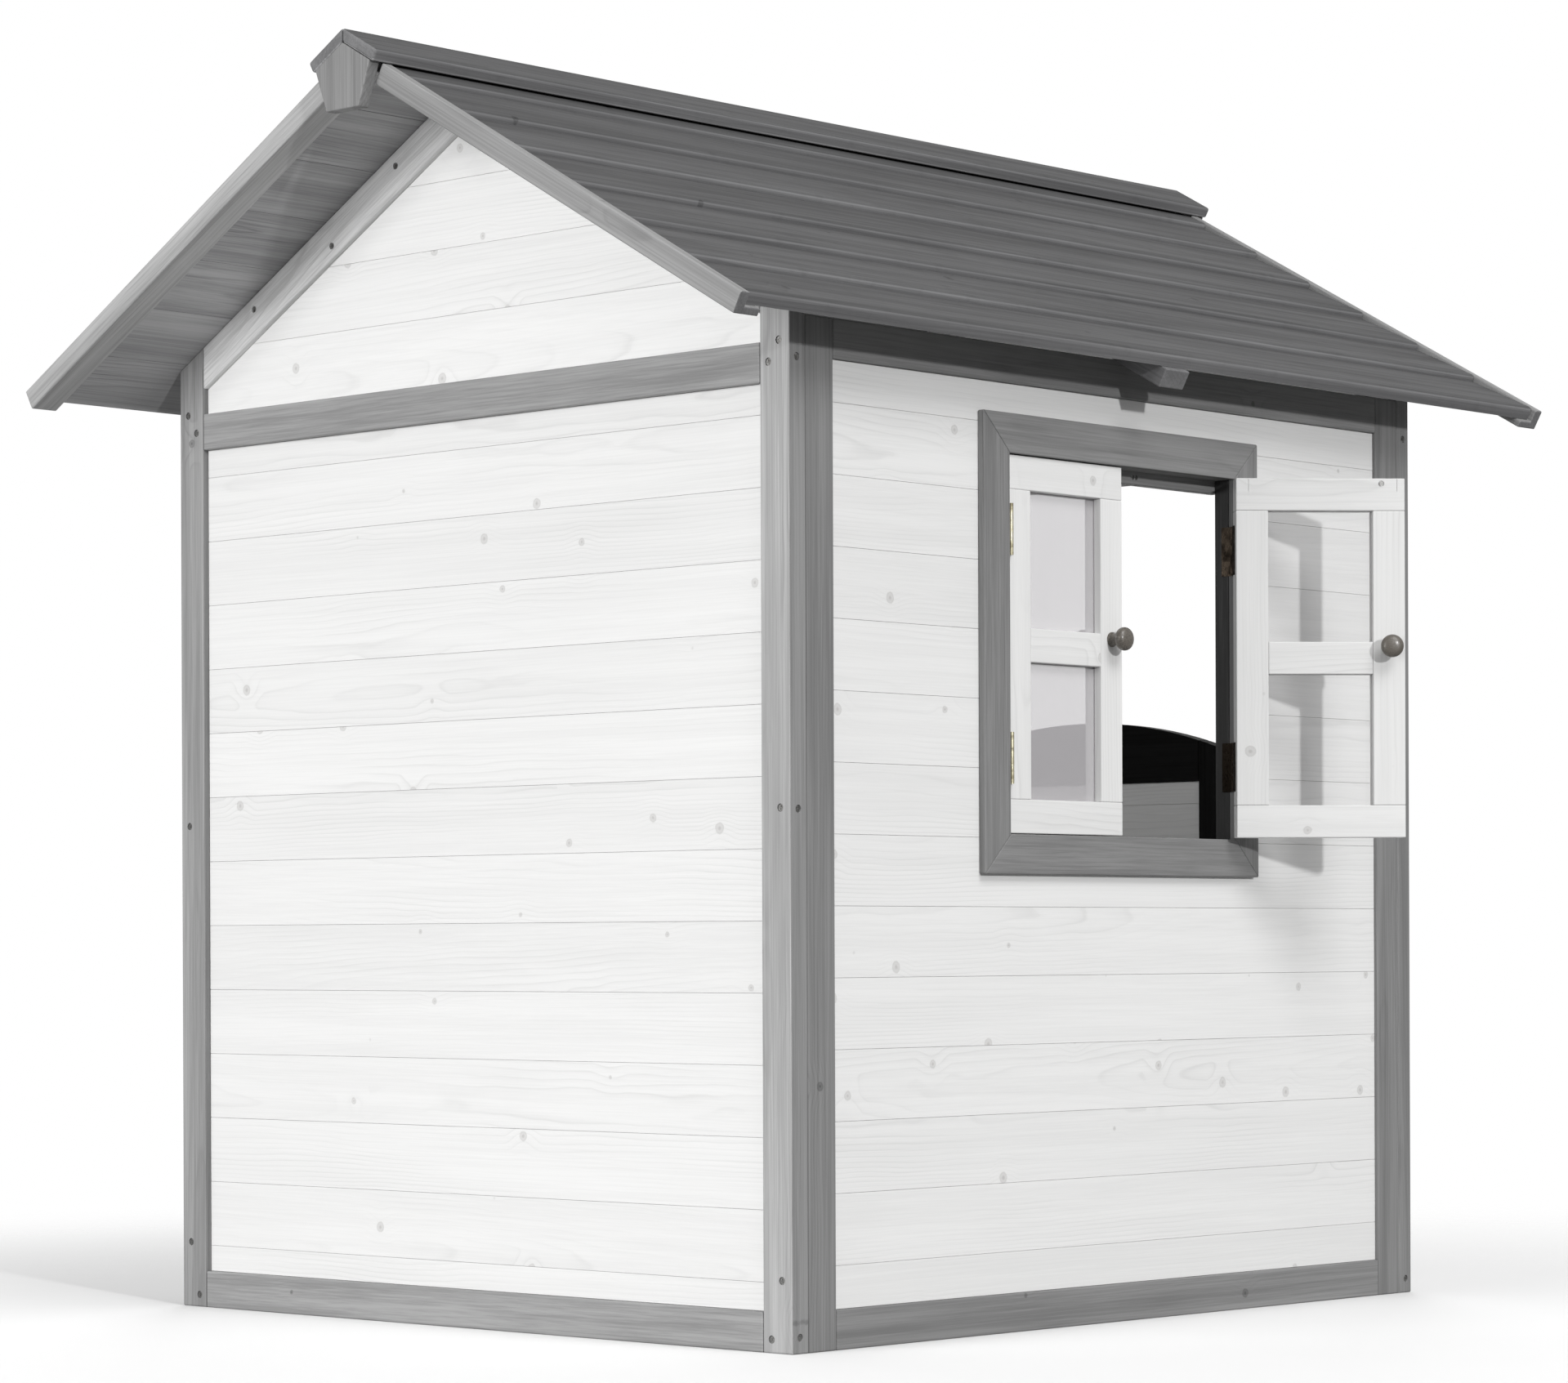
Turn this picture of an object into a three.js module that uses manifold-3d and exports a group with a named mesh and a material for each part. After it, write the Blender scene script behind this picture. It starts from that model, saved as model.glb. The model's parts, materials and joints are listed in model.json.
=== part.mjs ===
// A child's timber playhouse, as an assembly of its separate boards, frame members and hinges.
//
// Frame: millimetres, +Z up. The back gable faces +Y, the gable with the half door faces -Y,
// and the wall with the window faces -X. The origin is on the ground, under the middle of the
// whole box around the house, the open window sash included.

import * as THREE from 'three';
import { mergeVertices } from 'three/addons/utils/BufferGeometryUtils.js';
import Module from 'manifold-3d';

const wasm = await Module();
wasm.setup();

// ---------------------------------------------------------------- driving dimensions

const FIT = 0.3;                 // gap left between neighbouring pieces
const OVERLAP = 1;               // how far a cutter or a joined block runs past what it meets

// Frame stock, walls and gables
const GABLE_WIDTH = 1050;        // across a gable, over its corner stiles
const HOUSE_LENGTH = 1165;       // from one gable's outer face to the other's
const STOCK_WIDTH = 45;          // face width of the frame members
const STOCK_DEPTH = 26;          // thickness of the frame members, and so of each wall
const CLADDING_DEPTH = 12;       // thickness of the cladding boards
const GABLE_RECESS = 8;          // cladding behind the face of a gable's frame
const WALL_RECESS = 5;           // cladding behind the face of a side wall's frame
const TIE_RAIL_Z = 1071.5;       // underside of a gable's tie rail
const SIDE_WALL_HEIGHT = 1146;
const BOARD_COVER = 80;          // visible height of one cladding board
const GABLE_FIRST_SEAM_Z = 77;
const WALL_FIRST_SEAM_Z = 93.5;
const SEAM_WIDTH = 1.6;
const SEAM_DEPTH = 1.6;

// Roof, measured down the slope from the ridge and square to it
const PITCH = THREE.MathUtils.degToRad(29.3);
const EAVE_LINE_Z = 1174;        // underside of the roof boards, over a side wall's outer face
const SLOPE_LENGTH = 698;        // ridge to eave, along the underside of the roof boards
const ROOF_BOARD_THICK = 16.3;   // lower edge of a roof board
const ROOF_BOARD_THIN = 10.5;    // where the next board up covers it
const ROOF_BOARD_COVER = 102;
const FIRST_ROOF_EDGE = 78.5;    // ridge to the lower edge of the top board
const ROOF_BOARD_COUNT = 7;
const ROOF_STEP = 1;             // slant of a board's lower edge
const VERGE_OVERHANG = 171;      // gable face to the outer face of the verge batten
const VERGE_BATTEN_WIDTH = 38;
const VERGE_BATTEN_DEPTH = 25.7;
const VERGE_LIP = 14;            // part of the batten that covers the ends of the roof boards
const VERGE_BATTEN_START = 48;   // ridge to the upper end of a verge batten
const MID_BATTEN_DEPTH = 24;
const CAP_THICKNESS = 14.8;
const CAP_LENGTH_DOWN = 50;      // ridge to the lower edge of a cap board
const CAP_OVERHANG = 188;        // gable face to the end of the ridge cap
const BLOCK_THICKNESS = 16;
const BLOCK_SHOULDER = 47;       // half width of a ridge block at its shoulders
const BLOCK_FOOT = 28;           // half width of a ridge block at its foot
const BLOCK_FOOT_Z = 1410.5;

// Window, in the side wall at -X. Along the wall, sizes are from the back gable's face.
const WINDOW_START = 367.5;      // back gable's face to the window opening
const WINDOW_WIDTH = 425;
const WINDOW_HEIGHT = 442;
const WINDOW_SILL_Z = 577.5;
const TRIM_WIDTH = 46;
const TRIM_PROUD = 5;            // trim's face outside the face of the wall frame
const LINING_THICKNESS = 12;
const HEAD_STOP_HEIGHT = 15.5;
const HEAD_STOP_DEPTH = 15;

// Window sashes
const SASH_WIDTH = 208;
const SASH_HEIGHT = 439;
const SASH_DEPTH = 25;
const SASH_MEMBER = 39.5;        // face width of a sash's stiles, rails and bar
const SASH_SIDE_GAP = 3;         // jamb to sash, where the hinge leaves are
const PANE_DEPTH = 2.5;
const PANE_SETBACK = 10.5;       // sash's outer face to the pane
const PANE_EDGE = 6;             // pane's edge inside its groove
const FRONT_SASH_OPEN = THREE.MathUtils.degToRad(136.4);

// Knob, turned in one profile on both faces of the sash
const KNOB_Z = 812;
const KNOB_RADIUS = 14;
const KNOB_LENGTH = 27;
const SPINDLE_RADIUS = 4;
const KNOB_SIDES = 20;

// Butt hinges
const HINGE_LENGTH = 60;
const HINGE_PIN_OUT = 3.7;       // pin in front of the face of its sash or door, at their edge
const KNUCKLE_RADIUS = 2.7;
const PIN_RADIUS = 1.2;
const LEAF_THICKNESS = 1;
const LEAF_DEPTH = 16;
const LEAF_CLEARANCE = 0.6;      // a leaf's arm to the plate of the other leaf
const KNUCKLE_GAP = 0.4;         // between neighbouring knuckles
const SASH_HINGE_END = 87;       // sash's end to the middle of a hinge
const HINGE_SIDES = 12;

// Half door, in the front gable
const DOORWAY_WIDTH = 500;
const DOOR_WIDTH = 492;
const DOOR_BOTTOM_Z = 50;
const DOOR_CROWN_Z = 750;        // top of the door, in the middle
const DOOR_ARCH_RADIUS = 720;
const DOOR_PANEL_TOP_Z = 667;
const DOOR_DEPTH = 25;
const DOOR_HINGE_END = 110;
const ARCH_STEPS = 16;

// Middle of the whole box, from the middle of the gables
const ORIGIN_SHIFT_X = 44.3;

// ---------------------------------------------------------------- derived values

const HALF_WIDTH = GABLE_WIDTH / 2;
const HALF_LENGTH = HOUSE_LENGTH / 2;
const SLOPE = Math.tan(PITCH);
const APEX_Z = EAVE_LINE_Z + HALF_WIDTH * SLOPE;
const RAKE_DROP = STOCK_WIDTH / Math.cos(PITCH);
const TIE_RAIL_TOP_Z = TIE_RAIL_Z + STOCK_WIDTH;
const INNER_HALF_WIDTH = HALF_WIDTH - STOCK_WIDTH;
const WINDOW_TOP_Z = WINDOW_SILL_Z + WINDOW_HEIGHT;
const WINDOW_BACK_Y = HALF_LENGTH - WINDOW_START;
const WINDOW_FRONT_Y = WINDOW_BACK_Y - WINDOW_WIDTH;
const SASH_Z = WINDOW_SILL_Z + (WINDOW_HEIGHT - SASH_HEIGHT) / 2;
const DOOR_HALF_OPENING = DOORWAY_WIDTH / 2;

// ---------------------------------------------------------------- materials

function stain(color, roughness = 0.75) {
  return new THREE.MeshStandardMaterial({ color, roughness, metalness: 0 });
}

const whiteStain = stain(0xe6e6e4);
const greyStain = stain(0x8d8d8d);
const roofStain = stain(0x5f5f60);
const doorStain = stain(0x2b2b2b);
const knobWood = stain(0x5a5149, 0.5);
const hingeBrass = new THREE.MeshStandardMaterial({ color: 0xb9a36a, roughness: 0.4, metalness: 1 });
const clearAcrylic = new THREE.MeshStandardMaterial({
  color: 0xd8d6e0, roughness: 0.1, metalness: 0, transparent: true, opacity: 0.4,
});

// ---------------------------------------------------------------- shape helpers

const house = new THREE.Group();
house.name = 'playhouse';
house.position.x = ORIGIN_SHIFT_X;

function add(name, geometry, material, parent = house) {
  const mesh = new THREE.Mesh(geometry, material);
  mesh.name = name;
  parent.add(mesh);
  return mesh;
}

function outline(points) {
  return new THREE.Shape(points.map(([a, b]) => new THREE.Vector2(a, b)));
}

function extrude(shape, depth) {
  return new THREE.ExtrudeGeometry(shape, { depth, bevelEnabled: false });
}

// A prism whose section is drawn in X and Z
function prismAlongY(points, y0, y1) {
  return extrude(outline(points), y1 - y0).rotateX(Math.PI / 2).translate(0, y1, 0);
}

// A prism whose section is drawn in Y and Z
function prismAlongX(points, x0, x1) {
  return extrude(outline(points), x1 - x0).rotateX(Math.PI / 2).rotateZ(Math.PI / 2).translate(x0, 0, 0);
}

function box([x0, x1], [y0, y1], [z0, z1]) {
  const geometry = new THREE.BoxGeometry(x1 - x0, y1 - y0, z1 - z0);
  return geometry.translate((x0 + x1) / 2, (y0 + y1) / 2, (z0 + z1) / 2);
}

function uprightCylinder(radius, x, y, z0, z1, sides) {
  const geometry = new THREE.CylinderGeometry(radius, radius, z1 - z0, sides);
  return geometry.rotateX(Math.PI / 2).translate(x, y, (z0 + z1) / 2);
}

function toSolid(geometry) {
  const bare = geometry.clone();
  bare.deleteAttribute('normal');
  bare.deleteAttribute('uv');
  const merged = mergeVertices(bare, 1e-4);
  return new wasm.Manifold(new wasm.Mesh({
    numProp: 3,
    vertProperties: new Float32Array(merged.attributes.position.array),
    triVerts: new Uint32Array(merged.index.array),
  }));
}

function toGeometry(solid) {
  const mesh = solid.getMesh();
  const geometry = new THREE.BufferGeometry();
  geometry.setAttribute('position', new THREE.BufferAttribute(mesh.vertProperties, 3));
  geometry.setIndex(new THREE.BufferAttribute(mesh.triVerts, 1));
  return geometry;
}

function join(...geometries) {
  return toGeometry(geometries.map(toSolid).reduce((whole, piece) => whole.add(piece)));
}

function cut(geometry, ...tools) {
  return toGeometry(tools.map(toSolid).reduce((whole, tool) => whole.subtract(tool), toSolid(geometry)));
}

// Seam heights of the cladding boards between two heights
function seamHeights(first, low, high) {
  const heights = [];
  for (let z = first; z < high - SEAM_WIDTH; z += BOARD_COVER) {
    if (z > low + SEAM_WIDTH) heights.push(z);
  }
  return heights;
}

// Section of a clad panel: outer face at `face`, back at `back`, with a V at each seam
function claddingSection(face, back, z0, z1, firstSeam) {
  const inward = Math.sign(back - face);
  const points = [[back, z0], [face, z0]];
  for (const z of seamHeights(firstSeam, z0, z1)) {
    points.push([face, z - SEAM_WIDTH / 2], [face + inward * SEAM_DEPTH, z], [face, z + SEAM_WIDTH / 2]);
  }
  points.push([face, z1], [back, z1]);
  return points;
}

// ---------------------------------------------------------------- gables

// Height of the roof boards' underside at x
function roofLine(x) {
  return APEX_Z - Math.abs(x) * SLOPE;
}

function gableStile(side) {
  const outer = side * HALF_WIDTH;
  const inner = side * INNER_HALF_WIDTH;
  return [[outer, 0], [inner, 0], [inner, roofLine(inner) - FIT], [outer, roofLine(outer) - FIT]];
}

function gableRake(side) {
  const low = side * (INNER_HALF_WIDTH - FIT);
  const high = side * FIT / 2;
  return [
    [low, roofLine(low) - FIT], [low, roofLine(low) - RAKE_DROP],
    [high, roofLine(high) - RAKE_DROP], [high, roofLine(high) - FIT],
  ];
}

// Upper cladding, under the rakes: the seams are cut across its outer face
function upperCladding(yFace, yBack) {
  const edge = INNER_HALF_WIDTH - FIT;
  const z0 = TIE_RAIL_TOP_Z + FIT;
  const underRake = (x) => roofLine(x) - RAKE_DROP - FIT;
  const panel = prismAlongY(
    [[-edge, z0], [edge, z0], [edge, underRake(edge)], [0, underRake(0)], [-edge, underRake(edge)]],
    Math.min(yFace, yBack), Math.max(yFace, yBack),
  );
  const inward = Math.sign(yBack - yFace);
  const grooves = seamHeights(GABLE_FIRST_SEAM_Z, z0, underRake(0)).map((z) => prismAlongX(
    [[yFace - inward * SEAM_DEPTH, z - SEAM_WIDTH], [yFace + inward * SEAM_DEPTH, z],
      [yFace - inward * SEAM_DEPTH, z + SEAM_WIDTH]],
    -HALF_WIDTH, HALF_WIDTH,
  ));
  return cut(panel, ...grooves);
}

function addGable(end, outward) {
  const yFace = outward * HALF_LENGTH;
  const yInner = yFace - outward * STOCK_DEPTH;
  const [y0, y1] = [Math.min(yFace, yInner), Math.max(yFace, yInner)];
  const yBoards = yFace - outward * GABLE_RECESS;
  const yBoardsBack = yBoards - outward * CLADDING_DEPTH;
  const span = INNER_HALF_WIDTH - FIT;

  for (const [side, sideName] of [[-1, 'window_side'], [1, 'plain_side']]) {
    add(`${end}_stile_${sideName}`, prismAlongY(gableStile(side), y0, y1), greyStain);
    add(`${end}_rake_${sideName}`, prismAlongY(gableRake(side), y0, y1), greyStain);
  }
  add(`${end}_bottom_rail`, box([-span, span], [y0, y1], [0, STOCK_WIDTH]), greyStain);
  add(`${end}_tie_rail`, box([-span, span], [y0, y1], [TIE_RAIL_Z, TIE_RAIL_TOP_Z]), greyStain);
  add(`${end}_boards_upper`, upperCladding(yBoards, yBoardsBack), whiteStain);

  const section = claddingSection(
    yBoards, yBoardsBack, STOCK_WIDTH + FIT, TIE_RAIL_Z - FIT, GABLE_FIRST_SEAM_Z,
  );
  return { y0, y1, span, section };
}

const backGable = addGable('back', 1);
add('back_boards_lower', prismAlongX(backGable.section, -backGable.span, backGable.span), whiteStain);

// The front gable's lower part is parted by the doorway: a post and a strip of boards each side
const frontGable = addGable('front', -1);
const postOuter = DOOR_HALF_OPENING + STOCK_WIDTH;
for (const [side, sideName] of [[-1, 'window_side'], [1, 'plain_side']]) {
  const post = [side * DOOR_HALF_OPENING, side * postOuter].sort((a, b) => a - b);
  const strip = [side * (postOuter + FIT), side * frontGable.span].sort((a, b) => a - b);
  add(`front_post_${sideName}`,
    box(post, [frontGable.y0, frontGable.y1], [STOCK_WIDTH + FIT, TIE_RAIL_Z - FIT]), greyStain);
  add(`front_boards_${sideName}`, prismAlongX(frontGable.section, ...strip), whiteStain);
}

// ---------------------------------------------------------------- side walls

function addSideWall(wall, side, opening) {
  const face = side * HALF_WIDTH;
  const inner = face - side * STOCK_DEPTH;
  const xs = [Math.min(face, inner), Math.max(face, inner)];
  const end = HALF_LENGTH - STOCK_DEPTH - FIT;
  const span = end - STOCK_WIDTH - FIT;
  const boards = face - side * WALL_RECESS;
  const railZ = SIDE_WALL_HEIGHT - STOCK_WIDTH;

  add(`${wall}_stile_back`, box(xs, [end - STOCK_WIDTH, end], [0, SIDE_WALL_HEIGHT]), greyStain);
  add(`${wall}_stile_front`, box(xs, [-end, -end + STOCK_WIDTH], [0, SIDE_WALL_HEIGHT]), greyStain);
  add(`${wall}_bottom_rail`, box(xs, [-span, span], [0, STOCK_WIDTH]), greyStain);
  add(`${wall}_top_rail`, box(xs, [-span, span], [railZ, SIDE_WALL_HEIGHT]), greyStain);

  const section = claddingSection(
    boards, boards - side * CLADDING_DEPTH, STOCK_WIDTH + FIT, railZ - FIT, WALL_FIRST_SEAM_Z,
  );
  const panel = prismAlongY(section, -span, span);
  add(`${wall}_boards`, opening ? cut(panel, opening) : panel, whiteStain);
}

const liningOuter = LINING_THICKNESS + FIT;
const windowCutter = box(
  [-HALF_WIDTH - STOCK_DEPTH, -HALF_WIDTH + STOCK_DEPTH],
  [WINDOW_FRONT_Y - liningOuter, WINDOW_BACK_Y + liningOuter],
  [WINDOW_SILL_Z - liningOuter, WINDOW_TOP_Z + liningOuter],
);
addSideWall('window_wall', -1, windowCutter);
addSideWall('plain_wall', 1, null);

// ---------------------------------------------------------------- window frame

// A rectangular ring around the window opening, `width` wide and from x0 to x1 deep
function windowRing(width, x0, x1) {
  const outer = box([x0, x1], [WINDOW_FRONT_Y - width, WINDOW_BACK_Y + width],
    [WINDOW_SILL_Z - width, WINDOW_TOP_Z + width]);
  const through = [x0 - OVERLAP, x1 + OVERLAP];
  const hole = box(through, [WINDOW_FRONT_Y, WINDOW_BACK_Y], [WINDOW_SILL_Z, WINDOW_TOP_Z]);
  return cut(outer, hole);
}

const boardFaceX = -HALF_WIDTH + WALL_RECESS;
const liningBackX = -HALF_WIDTH + STOCK_DEPTH;
const headStop = box(
  [liningBackX - OVERLAP, liningBackX + HEAD_STOP_DEPTH],
  [WINDOW_FRONT_Y - LINING_THICKNESS, WINDOW_BACK_Y + LINING_THICKNESS],
  [WINDOW_TOP_Z - HEAD_STOP_HEIGHT, WINDOW_TOP_Z + LINING_THICKNESS],
);
add('window_frame', join(
  windowRing(TRIM_WIDTH, -HALF_WIDTH - TRIM_PROUD, boardFaceX - FIT),
  windowRing(LINING_THICKNESS, boardFaceX - OVERLAP, liningBackX),
  headStop,
), greyStain);

// ---------------------------------------------------------------- roof

// A point `s` down the slope from the ridge and `h` out from the roof boards' underside
function onSlope(side, s, h) {
  const x = s * Math.cos(PITCH) + h * Math.sin(PITCH);
  return [side * x, APEX_Z - s * Math.sin(PITCH) + h * Math.cos(PITCH)];
}

// The same height `h`, where it meets the upright plane half a gap from the ridge
function atRidge(side, h) {
  return [side * FIT / 2, APEX_Z + h / Math.cos(PITCH) - (FIT / 2) * SLOPE];
}

function slopeBlock(side, s0, s1, h0, h1, y0, y1) {
  const corners = [[s0, h0], [s1, h0], [s1, h1], [s0, h1]].map(([s, h]) => onSlope(side, s, h));
  return prismAlongY(corners, y0, y1);
}

// Overlapping boards: each is thick at its lower edge, and steps down to the thin part of the next
function roofBoards(side) {
  const points = [atRidge(side, 0), atRidge(side, ROOF_BOARD_THIN)];
  for (let i = 0; i < ROOF_BOARD_COUNT - 1; i += 1) {
    const edge = FIRST_ROOF_EDGE + i * ROOF_BOARD_COVER;
    points.push(onSlope(side, edge, ROOF_BOARD_THICK), onSlope(side, edge + ROOF_STEP, ROOF_BOARD_THIN));
  }
  points.push(onSlope(side, SLOPE_LENGTH, ROOF_BOARD_THICK), onSlope(side, SLOPE_LENGTH, 0));
  const end = HALF_LENGTH + VERGE_OVERHANG - VERGE_LIP - FIT;
  return prismAlongY(points, -end, end);
}

// Each verge batten hangs under the roof boards, with an outer lip that covers their ends
function vergeBatten(side, outward) {
  const outer = outward * (HALF_LENGTH + VERGE_OVERHANG);
  const lipInner = outer - outward * VERGE_LIP;
  const inner = outer - outward * VERGE_BATTEN_WIDTH;
  const low = ROOF_BOARD_THICK - VERGE_BATTEN_DEPTH;
  const spans = ([a, b]) => [Math.min(a, b), Math.max(a, b)];
  const lip = spans([outer, lipInner]);
  const under = spans([lipInner + outward * OVERLAP, inner]);
  return join(
    slopeBlock(side, VERGE_BATTEN_START, SLOPE_LENGTH, low, ROOF_BOARD_THICK, ...lip),
    slopeBlock(side, VERGE_BATTEN_START, SLOPE_LENGTH, low, -FIT, ...under),
  );
}

function midBatten(side) {
  const half = STOCK_WIDTH / 2;
  const corners = [
    atRidge(side, -FIT), atRidge(side, -MID_BATTEN_DEPTH),
    onSlope(side, SLOPE_LENGTH, -MID_BATTEN_DEPTH), onSlope(side, SLOPE_LENGTH, -FIT),
  ];
  return prismAlongY(corners, -half, half);
}

function ridgeCap(side) {
  const under = ROOF_BOARD_THICK + FIT;
  const top = ROOF_BOARD_THICK + CAP_THICKNESS;
  const corners = [
    atRidge(side, under), onSlope(side, CAP_LENGTH_DOWN, under),
    onSlope(side, CAP_LENGTH_DOWN, top), atRidge(side, top),
  ];
  const end = HALF_LENGTH + CAP_OVERHANG;
  return prismAlongY(corners, -end, end);
}

// The block that closes the end of the ridge cap, in front of the verge battens
function ridgeBlock(outward) {
  const topZ = APEX_Z + ROOF_BOARD_THICK / Math.cos(PITCH);
  const shoulderZ = topZ - BLOCK_SHOULDER * SLOPE;
  const corners = [
    [0, topZ], [BLOCK_SHOULDER, shoulderZ], [BLOCK_FOOT, BLOCK_FOOT_Z],
    [-BLOCK_FOOT, BLOCK_FOOT_Z], [-BLOCK_SHOULDER, shoulderZ],
  ];
  const front = outward * (HALF_LENGTH + CAP_OVERHANG);
  const back = front - outward * BLOCK_THICKNESS;
  return prismAlongY(corners, Math.min(front, back), Math.max(front, back));
}

for (const [side, sideName] of [[-1, 'window_side'], [1, 'plain_side']]) {
  add(`roof_boards_${sideName}`, roofBoards(side), roofStain);
  add(`roof_mid_batten_${sideName}`, midBatten(side), roofStain);
  add(`ridge_cap_${sideName}`, ridgeCap(side), roofStain);
  for (const [outward, end] of [[1, 'back'], [-1, 'front']]) {
    add(`verge_batten_${end}_${sideName}`, vergeBatten(side, outward), greyStain);
  }
}
add('ridge_block_back', ridgeBlock(1), greyStain);
add('ridge_block_front', ridgeBlock(-1), greyStain);

// ---------------------------------------------------------------- butt hinges

// A hinge is drawn about its pin at x = y = 0. The door or sash spreads from the pin towards
// +X, with its face at y = HINGE_PIN_OUT. The plates run towards +Y between its edge and the
// jamb at -X. An arm behind each knuckle joins it to its plate. The fixed leaf has the two
// outer knuckles and the pin; the moving leaf has the bored middle knuckle.
const KNUCKLE_HEIGHT = HINGE_LENGTH / 3;
const ARM_START = HINGE_PIN_OUT - FIT - LEAF_THICKNESS;
const ARM_END = ARM_START + LEAF_THICKNESS;

function knuckle(radius, [z0, z1]) {
  return uprightCylinder(radius, 0, 0, z0, z1, HINGE_SIDES);
}

function leafPieces(plate, spans) {
  const setBack = ARM_END + LEAF_CLEARANCE;
  const half = LEAF_THICKNESS / 2;
  const pieces = [box(plate, [setBack, ARM_START + LEAF_DEPTH], [0, HINGE_LENGTH])];
  for (const span of spans) {
    pieces.push(knuckle(KNUCKLE_RADIUS, span));
    pieces.push(box(plate, [ARM_START, setBack + OVERLAP], span));
    pieces.push(box([-half, half], [0, ARM_END], span));
    pieces.push(box([plate[0], half], [ARM_START, ARM_END], span));
  }
  return pieces;
}

function fixedLeaf(gap) {
  const plate = [FIT - gap, FIT - gap + LEAF_THICKNESS];
  const lower = [0, KNUCKLE_HEIGHT - KNUCKLE_GAP];
  const upper = [2 * KNUCKLE_HEIGHT + KNUCKLE_GAP, HINGE_LENGTH];
  const pin = knuckle(PIN_RADIUS, [OVERLAP, HINGE_LENGTH - OVERLAP]);
  return join(...leafPieces(plate, [lower, upper]), pin);
}

function movingLeaf() {
  const plate = [-FIT - LEAF_THICKNESS, -FIT];
  const solid = join(...leafPieces(plate, [[KNUCKLE_HEIGHT, 2 * KNUCKLE_HEIGHT]]));
  return cut(solid, knuckle(PIN_RADIUS + FIT, [-OVERLAP, HINGE_LENGTH + OVERLAP]));
}

// ---------------------------------------------------------------- window sashes

// A sash is drawn shut, about its hinge pin at x = y = 0, with its face towards -Y and its
// width towards +X
const SASH_FACE = HINGE_PIN_OUT;
const PANE_FACE = SASH_FACE + PANE_SETBACK;

function sashFrame() {
  const inner = [SASH_MEMBER, SASH_WIDTH - SASH_MEMBER];
  const daylight = (SASH_HEIGHT - 3 * SASH_MEMBER) / 2;
  const through = [SASH_FACE - OVERLAP, SASH_FACE + SASH_DEPTH + OVERLAP];
  const lowLight = [SASH_Z + SASH_MEMBER, SASH_Z + SASH_MEMBER + daylight];
  const highLight = [lowLight[1] + SASH_MEMBER, lowLight[1] + SASH_MEMBER + daylight];
  const groove = PANE_EDGE + FIT;
  const slot = box(
    [inner[0] - groove, inner[1] + groove],
    [PANE_FACE - FIT, PANE_FACE + PANE_DEPTH + FIT],
    [lowLight[0] - groove, highLight[1] + groove],
  );
  const knobX = SASH_WIDTH - SASH_MEMBER / 2;
  const boreRadius = SPINDLE_RADIUS + FIT;
  const bore = new THREE.CylinderGeometry(boreRadius, boreRadius, 2 * SASH_DEPTH, KNOB_SIDES)
    .translate(knobX, SASH_FACE + SASH_DEPTH / 2, KNOB_Z);
  return cut(
    box([0, SASH_WIDTH], [SASH_FACE, SASH_FACE + SASH_DEPTH], [SASH_Z, SASH_Z + SASH_HEIGHT]),
    box(inner, through, lowLight), box(inner, through, highLight), slot, bore,
  );
}

function sashPane() {
  return box(
    [SASH_MEMBER - PANE_EDGE, SASH_WIDTH - SASH_MEMBER + PANE_EDGE],
    [PANE_FACE, PANE_FACE + PANE_DEPTH],
    [SASH_Z + SASH_MEMBER - PANE_EDGE, SASH_Z + SASH_HEIGHT - SASH_MEMBER + PANE_EDGE],
  );
}

// Two turned knobs on one spindle, through the free stile
function sashKnob() {
  const half = SASH_DEPTH / 2 + FIT;
  const knob = [
    [9, 0], [7, 5], [6.5, 9], [10, 12], [13, 15.5],
    [KNOB_RADIUS, 19.5], [12.5, 23.5], [8, 26], [0, KNOB_LENGTH],
  ];
  const outer = knob.map(([r, y]) => new THREE.Vector2(r, half + y));
  const inner = knob.map(([r, y]) => new THREE.Vector2(r, -half - y)).reverse();
  const spindle = [new THREE.Vector2(SPINDLE_RADIUS, -half), new THREE.Vector2(SPINDLE_RADIUS, half)];
  const turned = new THREE.LatheGeometry([...inner, ...spindle, ...outer], KNOB_SIDES);
  return turned.translate(SASH_WIDTH - SASH_MEMBER / 2, SASH_FACE + SASH_DEPTH / 2, KNOB_Z);
}

// A copy mirrored in the plane x = 0, its triangles turned over so that they still face out
function mirrored(geometry) {
  const copy = geometry.clone().scale(-1, 1, 1);
  const corners = copy.index.array;
  for (let i = 0; i < corners.length; i += 3) {
    [corners[i + 1], corners[i + 2]] = [corners[i + 2], corners[i + 1]];
  }
  return copy;
}

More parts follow.
